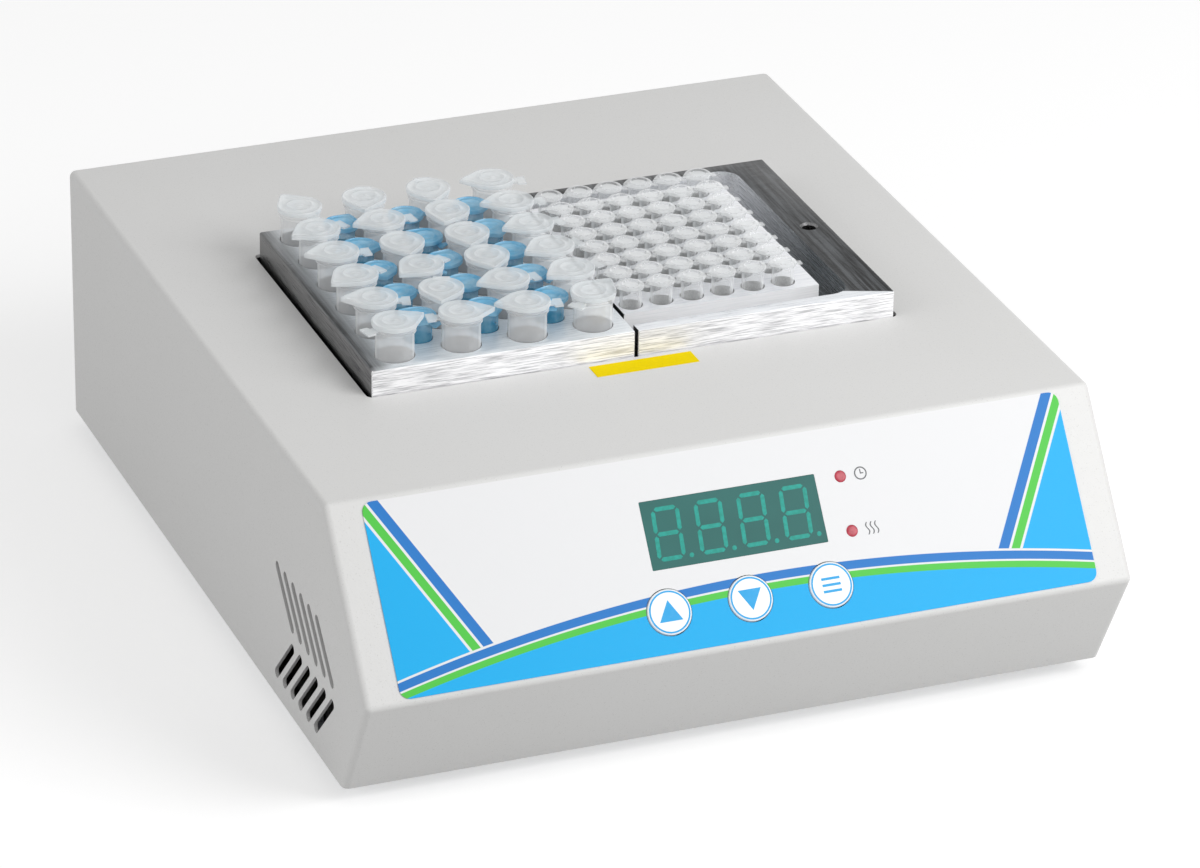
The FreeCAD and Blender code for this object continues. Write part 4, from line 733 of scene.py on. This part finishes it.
def right_rim_painted_reflection(metal, x, y):
    """Painted dark reflection beyond the mitre line from the moat's front corner to the block's front
    corner.
    """
    sideways = metal.maths("MULTIPLY", metal.maths("SUBTRACT", x, MOAT_EDGE), END_RIM / SIDE_RIM)
    forwards = metal.maths("SUBTRACT", BLOCK_FRONT + END_RIM, y)
    return metal.maths("SUBTRACT", sideways, metal.maths("MAXIMUM", forwards, -25.0))


def left_side_painted_reflection(metal, x, y):
    """Painted dark reflection beyond a line close to the outer side, cut off slantwise at the front."""
    forwards = metal.maths("SUBTRACT", BLOCK_FRONT + 3, y)
    aside = metal.maths("SUBTRACT", 4.5 - BLOCK_SIDE, x)
    return metal.maths("SUBTRACT", aside, metal.maths("MAXIMUM", forwards, 0.0))


def moat_painted_reflection(metal, x, y):
    """Painted dark reflection: the side run of the moat is painted darker the further it comes forwards.
    """
    aside = metal.maths("MULTIPLY", metal.maths("SUBTRACT", x, ISLAND_EDGE + 0.5), 60.0)
    return metal.maths("MINIMUM", aside, metal.maths("SUBTRACT", BLOCK_BACK - 36, y))


ALONG_X, ALONG_Y = (0.012, 0.35, 1), (0.35, 0.012, 1)
# Lit and shaded copies of one aluminium: the front copy is painted bright as painted light, the side copy
# darker as painted shade, and the island's front wall bright as painted light.
front_metal_painted_light = brushed("front_aluminium_painted_light", (0.995, 0.995, 1.0), (0.73, 0.73, 0.74),
                      (0.014, 1, 0.35), (0.32, 0.5), 0.45)
side_metal_painted_shade = brushed("side_aluminium_painted_shade", (0.52, 0.52, 0.52), (0.36, 0.36, 0.37), (1, 0.01, 0.35))
# The left block's top gets a dark band painted towards its outer side, as a painted reflection.
top_metal_painted_reflection = brushed("top_aluminium_painted_reflection", (0.93, 0.945, 0.955), (0.83, 0.85, 0.865),
                    ALONG_X, (0.25, 0.42), 0.45)
add_painted_reflection_strips(top_metal_painted_reflection, (0.20, 0.205, 0.21), ALONG_Y, left_side_painted_reflection, 3.6)
# The right block's outer rim gets a dark strip painted on, as a painted reflection.
rim_metal_painted_reflection = brushed("rim_aluminium_painted_reflection", (0.93, 0.94, 0.95), (0.82, 0.83, 0.85), ALONG_X)
add_painted_reflection_strips(rim_metal_painted_reflection, (0.16, 0.165, 0.17), ALONG_Y, right_rim_painted_reflection)
island_metal = brushed("island_aluminium", (0.95, 0.955, 0.965), (0.88, 0.89, 0.91),
                       ALONG_X, (0.25, 0.42), 0.5)
island_wall_metal_painted_light = brushed("island_wall_aluminium_painted_light", (0.99, 0.99, 0.995), (0.95, 0.955, 0.96),
                     (0.01, 1, 0.5), (0.3, 0.45), 0.15)
# The moat's side run is painted darker towards the front, as a painted reflection.
moat_metal_painted_reflection = brushed("milled_moat_aluminium_painted_reflection", (0.95, 0.955, 0.965), (0.86, 0.87, 0.885),
                     (1, 0.02, 0.6), (0.2, 0.36), 0.45)
add_painted_reflection_strips(moat_metal_painted_reflection, (0.26, 0.275, 0.285), ALONG_Y, moat_painted_reflection, 28.0)
bore_metal = brushed("bored_aluminium", (0.86, 0.86, 0.86), (0.70, 0.70, 0.70),
                     (1, 1, 0.1), (0.3, 0.5), 0.6)


def dress_block(block, top, walls=lambda middle, normal: bore_metal):
    """Front, sides and top each have their own brushing, with a painted-light copy for the front and a
    painted-shade copy for the sides; walls picks one for a bored face.
    """
    metals = []
    block.data.materials.clear()
    xs = [corner[0] for corner in block.bound_box]
    ys = [corner[1] for corner in block.bound_box]
    for face in block.data.polygons:
        middle, normal = face.center / MM, face.normal
        if normal.z > 0.9 and middle.z > BLOCK_TOP - 0.2:
            metal = top(middle)
        elif middle.y < min(ys) / MM + 0.5 or middle.y > max(ys) / MM - 0.5:
            metal = front_metal_painted_light
        elif middle.x < min(xs) / MM + 0.5 or middle.x > max(xs) / MM - 0.5:
            metal = side_metal_painted_shade
        else:
            metal = walls(middle, normal)
        if metal not in metals:
            metals.append(metal)
            block.data.materials.append(metal.material)
        face.material_index = metals.index(metal)


print("moat's outer edge at", round(MOAT_EDGE, 2), "and island's at", round(ISLAND_EDGE, 2))

# %% [markdown]
# Each block is a solid bar with its wells bored from above. The left one takes two sizes of
# lidded tube. The right one is half of a plate of 96: an island with 48 wells, in a moat that
# frees the plate's skirt. All the bores of one size are set by the copying tree and cut at once.

# %% Blocks
FIRST_TUBE_X, TUBE_STEP_X, TUBE_STEP_Y, PLATE_STEP = -66.75, 19, 15.9, 9
BLOCK_MIDDLE = (BLOCK_FRONT + BLOCK_BACK) / 2
TUBE_X = [FIRST_TUBE_X + TUBE_STEP_X * i for i in range(4)]
TUBE_Y = [BLOCK_FRONT + 8 + TUBE_STEP_Y * j for j in range(6)]
SMALL_X = [x + TUBE_STEP_X / 2 for x in TUBE_X[:3]]
SMALL_Y = [y + TUBE_STEP_Y / 2 for y in TUBE_Y[:5]]
PLATE_X = [PLATE_STEP / 2 + PLATE_STEP * i for i in range(6)]
PLATE_Y = [BLOCK_MIDDLE + PLATE_STEP * (j - 3.5) for j in range(8)]


def block_bar(name, left, right):
    bar = prism(name, [(left, BLOCK_FRONT), (right, BLOCK_FRONT), (right, BLOCK_BACK),
                       (left, BLOCK_BACK)], BLOCK_LOW, BLOCK_TOP)
    bevel_edges(bar, 0.4, 2)
    return bar


def bore_wells(block, name, profile, segments, columns, rows):
    """Cut one tapered well at every crossing of the columns and rows."""
    bore = turned("bore", profile, segments)
    cut(block, set_copies(name, bore, [(x, y, BLOCK_TOP, 0) for x in columns for y in rows]))


tube_block = block_bar("tube_block_bar", -BLOCK_SIDE, -0.5)
bore_wells(tube_block, "large_bores", [(0, 3), (5.6, 3), (5.6, -12), (2.3, -31.5), (0, -32.5)], 36,
           TUBE_X, TUBE_Y)
bore_wells(tube_block, "small_bores", [(0, 3), (4.1, 3), (4.1, 0), (1.5, -24.5), (0, -25)], 28,
           SMALL_X, SMALL_Y)
dress_block(tube_block, lambda middle: top_metal_painted_reflection)

plate_block = block_bar("plate_block_bar", 0.5, BLOCK_SIDE)
MOAT_FRONT, MOAT_BACK, MOAT_CORNER, MOAT_DEPTH = BLOCK_FRONT + END_RIM, BLOCK_BACK - END_RIM, 5.5, 15
ISLAND_FRONT, ISLAND_BACK = BLOCK_FRONT + 11, BLOCK_BACK - 11
OPEN_END = -2
# Each corner has 7 points. The right back one comes first, the right front one last.
corners = rounded_box(-20, MOAT_EDGE, MOAT_FRONT, MOAT_BACK, MOAT_CORNER, 6)
front_corner, back_corner = corners[-7:], corners[:7]
moat = [(OPEN_END, MOAT_FRONT), *front_corner, *back_corner, (OPEN_END, MOAT_BACK),
        (OPEN_END, ISLAND_BACK), (ISLAND_EDGE, ISLAND_BACK), (ISLAND_EDGE, ISLAND_FRONT),
        (OPEN_END, ISLAND_FRONT)]
cut(plate_block, prism("moat", moat, BLOCK_TOP - MOAT_DEPTH, BLOCK_TOP + 3))
bore_wells(plate_block, "plate_bores", [(0, 3), (3.4, 3), (3.4, 0), (0.9, -16.5), (0, -17)], 28,
           PLATE_X, PLATE_Y)
GAUGE_X = 70.55
cut(plate_block, turned("gauge_bore", [(0, 3), (2.6, 3), (2.6, 0), (2.0, -0.6), (2.0, -30), (0, -30)], 28,
                        Matrix.Translation((GAUGE_X, BLOCK_MIDDLE, BLOCK_TOP))))


def plate_top(middle):
    on_island = middle.x < ISLAND_EDGE + 0.2 and ISLAND_FRONT - 0.5 < middle.y < ISLAND_BACK + 0.5
    return island_metal if on_island else rim_metal_painted_reflection


def plate_walls(middle, normal):
    # The gauge bore's walls lie past this line and take the darker side copy, as painted shade in the
    # hole.
    if middle.x > MOAT_EDGE + 1.9:
        return side_metal_painted_shade
    if abs(middle.y - ISLAND_FRONT) < 0.2 and normal.y < -0.9:
        return island_wall_metal_painted_light
    in_island = (middle.x <= ISLAND_EDGE - 0.2
                 and ISLAND_FRONT + 0.2 <= middle.y <= ISLAND_BACK - 0.2)
    return bore_metal if in_island else moat_metal_painted_reflection


dress_block(plate_block, plate_top, plate_walls)
for piece, body in ((tube_block, "tube_block"), (plate_block, "plate_block")):
    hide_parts(body)
    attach(piece, body)
    print(piece.name, len(piece.data.polygons), "faces")

# %% [markdown]
# Sample tubes are thin moulded plastic. The large ones are milky, the small ones tinted blue,
# the plate tubes as clear as glass. A thin clear wall is hardly seen face on and shows up at
# its edges, so each finish gets denser where the surface turns away from the eye.

# %% Tube plastics
def thin_plastic(name, colour, roughness, face_on, edge_on, start=0.5):
    """The wall grows denser from face_on to edge_on once it turns away by more than start."""
    plastic = Finish(name, colour, roughness, IOR=1.45)
    cloud = plastic.noise(260, 2.0)
    paler = [c + (1 - c) * 0.35 for c in colour]
    plastic.colour(plastic.mix(plastic.spread(cloud, 0.35, 0.65), colour, paler))
    plastic.gloss(plastic.spread(cloud, 0.3, 0.7, roughness - 0.03, roughness + 0.05))
    weight = set_inputs(plastic.nodes.new("ShaderNodeLayerWeight"), Blend=0.4)
    density = plastic.spread(weight.outputs["Facing"], start, 0.97, face_on, edge_on)
    plastic.links.new(density, plastic.shader.inputs["Alpha"])
    print(name, "is", face_on, "dense face on and", edge_on, "at its edge")
    return plastic


milky = thin_plastic("milky_lid_plastic", (0.93, 0.95, 0.96), 0.20, 0.44, 0.92)
cloudy = thin_plastic("cloudy_barrel_plastic", (0.975, 0.98, 0.985), 0.10, 0.34, 0.90)
blue_lid = thin_plastic("light_blue_lid_plastic", (0.44, 0.76, 0.92), 0.20, 0.66, 0.94)
blue_barrel = thin_plastic("deep_blue_barrel_plastic", (0.28, 0.66, 0.83), 0.13, 0.50, 0.95)
clear = thin_plastic("clear_plate_plastic", (0.965, 0.975, 0.98), 0.05, 0.15, 0.95, 0.27)

# %% [markdown]
# A tube's lid is a thin disc with moulded rings. One side runs out into a beak to open it by,
# the other into the strap that hinges it. The lid is drawn as rings of points: the outer rings
# follow the teardrop outline, the inner ones are circles at the heights of the moulded rings.

# %% Lids and barrels
def teardrop(turn, radius, beak, heading=0.0):
    """Radius of the outline at a turn: a circle with two tangents that meet at the beak."""
    away = (turn - heading + math.pi) % (2 * math.pi) - math.pi
    open_angle = math.acos(radius / beak)
    if abs(away) > open_angle:
        return radius
    return min(radius / math.cos(open_angle - abs(away)), beak * 0.965)


def add_lid(mesh, rings, radius, beak, segments, heading=0.0):
    """rings holds (share of the outline or radius, height, follows the outline)."""
    loops = []
    for size, level, follows in rings:
        if size == 0:
            loops.append([mesh.verts.new((0, 0, level))])
            continue
        loop = []
        for i in range(segments):
            turn = 2 * math.pi * i / segments
            reach = teardrop(turn, radius, beak, heading) * size if follows else size
            loop.append(mesh.verts.new((reach * math.cos(turn), reach * math.sin(turn), level)))
        loops.append(loop)
    join_rings(mesh, loops, segments)


def strap(mesh, root, tip, half_root, half_tip, low, high, place=Matrix()):
    """The hinge: a narrow neck that widens into a square tab."""
    neck = root + (tip - root) * 0.35
    outline = [(-tip, -half_tip), (-neck - 0.3, -half_tip), (-neck, -half_root), (-root, -half_root),
               (-root, half_root), (-neck, half_root), (-neck - 0.3, half_tip), (-tip, half_tip)]
    add_prism(mesh, outline, low, high, place)


def lid_rings(low, high, plateau, groove, hub):
    """Rings of a lid: thick edge that follows the outline, a raised ring and a small hub."""
    return [(0, low, False), (plateau, low, False), (0.95, low + 0.05, True), (1.0, low + 0.22, True),
            (1.0, high - 0.2, True), (0.965, high, True), (0.925, high, True), (0.89, high - 0.24, True),
            (groove + 0.35, high - 0.26, False), (groove + 0.1, high - 0.02, False),
            (groove - 0.3, high - 0.02, False), (groove - 0.6, high - 0.34, False),
            (hub + 0.3, high - 0.36, False), (hub, high - 0.2, False), (0, high - 0.18, False)]


lid = bmesh.new()
add_lid(lid, lid_rings(8.9, 10.35, 5.2, 3.6, 0.6), 6.25, 9.6, 48)
strap(lid, 5.6, 9.6, 1.3, 2.3, 8.35, 8.85)
large_lid = make_piece("large_lid", lid, 40)
large_barrel = turned("large_barrel", [
    (0, 8.85), (5.9, 8.85), (6.05, 8.6), (5.95, 8.35), (5.6, 8.25), (5.6, 7.9), (5.85, 7.75), (5.85, 7.35),
    (5.45, 7.2), (5.35, 6.8), (5.3, -11.8), (1.9, -28.3), (1.2, -28.9), (0, -29)], 36, sharp=50)
small_lid_mesh = bmesh.new()
add_lid(small_lid_mesh, lid_rings(5.6, 6.98, 4.2, 3.0, 0.5), 5.05, 6.5, 40)
strap(small_lid_mesh, 4.5, 6.6, 1.1, 1.8, 5.0, 5.45)
small_lid = make_piece("small_lid", small_lid_mesh, 40)
small_barrel = turned("small_barrel", [
    (0, 5.55), (4.5, 5.55), (4.55, 5.3), (4.2, 5.1), (4.2, 4.8), (3.9, 4.7), (3.85, 0), (1.3, -22.6),
    (0, -23)], 28, sharp=50)
plate_tube_mesh = bmesh.new()
add_lid(plate_tube_mesh, [(0, 5.35, False), (2.7, 5.35, False), (0.96, 5.42, True), (1.0, 5.55, True),
                          (1.0, 6.1, True), (0.95, 6.25, True), (3.05, 6.28, False), (2.8, 6.45, False),
                          (2.45, 6.45, False), (2.15, 5.95, False), (0, 5.9, False)],
        3.65, 4.85, 24, math.pi)
strap(plate_tube_mesh, 3.2, 5.4, 0.6, 1.1, 4.8, 5.15, Matrix.Rotation(math.pi, 4, "Z"))
add_turned(plate_tube_mesh, [(0, 5.3), (3.35, 5.3), (3.45, 5.1), (3.3, 4.8), (3.15, 4.6), (3.0, 0),
                             (0.9, -14.4), (0, -15)], 20)
plate_tube = make_piece("plate_tube", plate_tube_mesh, 40)
for master in (large_lid, large_barrel, small_lid, small_barrel, plate_tube):
    print(master.name, len(master.data.polygons), "faces")

# %% [markdown]
# Nobody lines up lids by hand, so each large tube has its own turn. The turns are written down
# column by column, from the front row to the back. The small tubes turn a little from one to
# the next, and the plate tubes all face nearly the same way.

# %% Set the tubes in their wells
LARGE_TURNS = [[12, 165, 205, 176, 200, 105], [-8, 250, 210, 264, 186, 252],
               [172, 186, 262, 256, 244, 262], [38, 200, 195, 188, 176, 170]]
large_places = [(x, y, BLOCK_TOP, turn) for x, turns in zip(TUBE_X, LARGE_TURNS)
                for y, turn in zip(TUBE_Y, turns)]
small_places = [(x, y, BLOCK_TOP, 130 + 150 * i + 70 * j)
                for i, x in enumerate(SMALL_X) for j, y in enumerate(SMALL_Y)]
plate_places = [(x, y, BLOCK_TOP, 4 * math.sin(5 * i + 3 * j))
                for i, x in enumerate(PLATE_X) for j, y in enumerate(PLATE_Y)]
TUBE_LAYERS = (
    ("large_tube_lids", large_lid, large_places, milky, "large_tubes", "clear_tube"),
    ("large_tube_barrels", large_barrel, large_places, cloudy, "large_tubes", "clear_tube"),
    ("small_tube_lids", small_lid, small_places, blue_lid, "small_tubes", "blue_tube"),
    ("small_tube_barrels", small_barrel, small_places, blue_barrel, "small_tubes", "blue_tube"),
    ("plate_tubes_clear", plate_tube, plate_places, clear, "plate_tubes", "clear_tube"))
for name, master, places, plastic, node, slot in TUBE_LAYERS:
    layer = set_copies(name, master, places, plastic.material, 50)
    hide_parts(node)
    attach(layer, "plate_tubes" if node == "plate_tubes" else "standing_tubes")

# %% [markdown]
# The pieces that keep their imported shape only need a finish. Metals get a little unevenness in
# their gloss, boards a faint mottle, rubber and plastic a fine grain.

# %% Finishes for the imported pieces
dressed = []


def finish_nodes(nodes, name, colour, roughness, grain=900, depth=0.02, shade=0.86, **sockets):
    """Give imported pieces, named in one text with spaces between, a plain finish."""
    finish = Finish(name, colour, roughness, **sockets)
    spots = finish.noise(grain, 2.0)
    darker = [c * shade for c in colour]
    finish.colour(finish.mix(finish.spread(spots, 0.3, 0.7), darker, colour))
    finish.gloss(finish.spread(spots, 0.3, 0.7, roughness - 0.05, roughness + 0.07))
    finish.relief(spots, depth, 0.4)
    for node in nodes.split():
        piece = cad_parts[node]
        if not piece.material_slots:
            piece.data.materials.append(finish.material)
        for slot in piece.material_slots:
            slot.material = finish.material
        dressed.append(node)


finish_nodes("base_plate", "zinc_plated_sheet", (0.70, 0.71, 0.72), 0.38, 220, 0.01, Metallic=1.0)
finish_nodes("well_liner", "black_liner_paint", (0.05, 0.05, 0.055), 0.6, 1200)
finish_nodes("rubber_feet", "black_rubber_foot", (0.075, 0.075, 0.08), 0.75, 1500, 0.04)
finish_nodes("inlet_socket switch_frame fuse_drawer", "black_moulded_plastic",
             (0.085, 0.085, 0.09), 0.42, 2500, 0.015)
finish_nodes("switch_rocker", "black_rocker_plastic", (0.06, 0.06, 0.065), 0.25, 1800, 0.01)
finish_nodes("temperature_probe thermal_cutout contact_blades", "bright_steel",
             (0.80, 0.80, 0.81), 0.22, 600, 0.005, Metallic=1.0)
finish_nodes("base_screws board_screws power_screws inlet_screws inlet_nuts", "screw_steel",
             (0.62, 0.62, 0.64), 0.33, 700, 0.008, Metallic=1.0)
finish_nodes("heater_posts board_standoffs power_standoffs earth_stud", "brass_fitting",
             (0.80, 0.66, 0.36), 0.3, 500, 0.006, Metallic=1.0)
finish_nodes("heater_plate heat_sink", "milled_heater_plate", (0.74, 0.75, 0.77), 0.35, 400, 0.01,
             Metallic=1.0)
finish_nodes("insulation_jacket insulation_pad", "glass_wool", (0.87, 0.84, 0.74), 0.9, 700, 0.4)
finish_nodes("heating_mat", "red_silicone_mat", (0.56, 0.16, 0.11), 0.6, 1200, 0.05)
finish_nodes("control_board power_board", "green_circuit_board", (0.06, 0.33, 0.17), 0.35, 350, 0.02)
finish_nodes("display_module key_switches heater_triac capacitors", "black_component",
             (0.10, 0.10, 0.12), 0.35, 800, 0.01)
finish_nodes("heater_relay", "blue_relay_case", (0.11, 0.26, 0.58), 0.3, 800, 0.01)
finish_nodes("terminal_block", "green_terminal_block", (0.09, 0.46, 0.25), 0.4, 900, 0.01)
finish_nodes("transformer", "transformer_iron", (0.36, 0.36, 0.38), 0.5, 700, 0.03, Metallic=0.6)
finish_nodes("ribbon_cable mains_leads", "grey_cable", (0.52, 0.53, 0.55), 0.5, 1200, 0.01)
finish_nodes("glass_fuses", "fuse_glass", (0.90, 0.92, 0.92), 0.1, 300, 0.0, Transmission_Weight=0.8)
finish_nodes("yellow_strip", "plain_yellow_strip", (0.945, 0.84, 0.0), 0.6, 1400, 0.004, 0.97,
             Specular_IOR_Level=0.03)
print(len(dressed), "packed pieces dressed")

# %% [markdown]
# Catalogue light is soft and comes from above and both sides, with a brighter window at the
# front right so that the fronts of the blocks shine. The floor is a wide pale sheet that
# glows a little for the camera. For the camera, and in mirrors, the world is plain white.

# %% Floor, lamps and world
def lamp(name, place, target, width, height, power):
    data = bpy.data.lights.new(name, "AREA")
    data.shape = "RECTANGLE"
    data.size, data.size_y = width, height
    data.energy = power
    aim = (Vector(target) - Vector(place)).to_track_quat("-Z", "Y")
    add_object(name, data).matrix_world = Matrix.Translation(place) @ aim.to_matrix().to_4x4()


def seen_share(nodes, links):
    """1 for rays that reach the camera straight, by a mirror or through clear plastic."""
    path = nodes.new("ShaderNodeLightPath")
    share = path.outputs["Is Camera Ray"]
    for kind in ("Is Glossy Ray", "Is Transmission Ray"):
        either = nodes.new("ShaderNodeMath")
        either.operation = "MAXIMUM"
        links.new(share, either.inputs[0])
        links.new(path.outputs[kind], either.inputs[1])
        share = either.outputs[0]
    return share


lamp("front_window", (0.66, -0.84, 0.80), (0, -0.05, 0.07), 0.8, 0.65, 11.1)
lamp("top_window", (0.6, 0.3, 1.5), (0, 0, 0.05), 1.4, 1.2, 0.6)
lamp("left_window", (-1.6, -0.3, 0.7), (0, 0, 0.05), 1.0, 1.0, 5.3)

FLOOR_GREY, FLOOR_GLOW, AMBIENT = 0.60, 0.5, 0.60
floor_mesh = bmesh.new()
bmesh.ops.create_grid(floor_mesh, x_segments=1, y_segments=1, size=4000)
floor = make_piece("floor", floor_mesh)
floor.location.z = -0.0002
floor_paint = bpy.data.materials.new("pale_floor")
floor_paint.use_nodes = True
nodes, links = floor_paint.node_tree.nodes, floor_paint.node_tree.links
nodes.clear()
matt = set_inputs(nodes.new("ShaderNodeBsdfDiffuse"), Color=(FLOOR_GREY, FLOOR_GREY, FLOOR_GREY, 1))
glow = set_inputs(nodes.new("ShaderNodeEmission"), Strength=FLOOR_GLOW)
only = nodes.new("ShaderNodeMixShader")
total = nodes.new("ShaderNodeAddShader")
out = nodes.new("ShaderNodeOutputMaterial")
links.new(seen_share(nodes, links), only.inputs["Fac"])
links.new(glow.outputs[0], only.inputs[2])
links.new(matt.outputs[0], total.inputs[0])
links.new(only.outputs[0], total.inputs[1])
links.new(total.outputs[0], out.inputs["Surface"])
dress(floor, floor_paint)

world = bpy.data.worlds.new("studio")
bpy.context.scene.world = world
world.use_nodes = True
nodes, links = world.node_tree.nodes, world.node_tree.links
nodes.clear()
ambient = set_inputs(nodes.new("ShaderNodeBackground"), Strength=AMBIENT)
backdrop = set_inputs(nodes.new("ShaderNodeBackground"), Color=(1, 1, 1, 1))
choose = nodes.new("ShaderNodeMixShader")
out = nodes.new("ShaderNodeOutputWorld")
links.new(seen_share(nodes, links), choose.inputs["Fac"])
links.new(ambient.outputs[0], choose.inputs[1])
links.new(backdrop.outputs[0], choose.inputs[2])
links.new(choose.outputs[0], out.inputs["Surface"])
bpy.context.scene.view_settings.view_transform = "Standard"
print("lamps", [data.name for data in bpy.data.lights], "on a floor of", FLOOR_GREY)
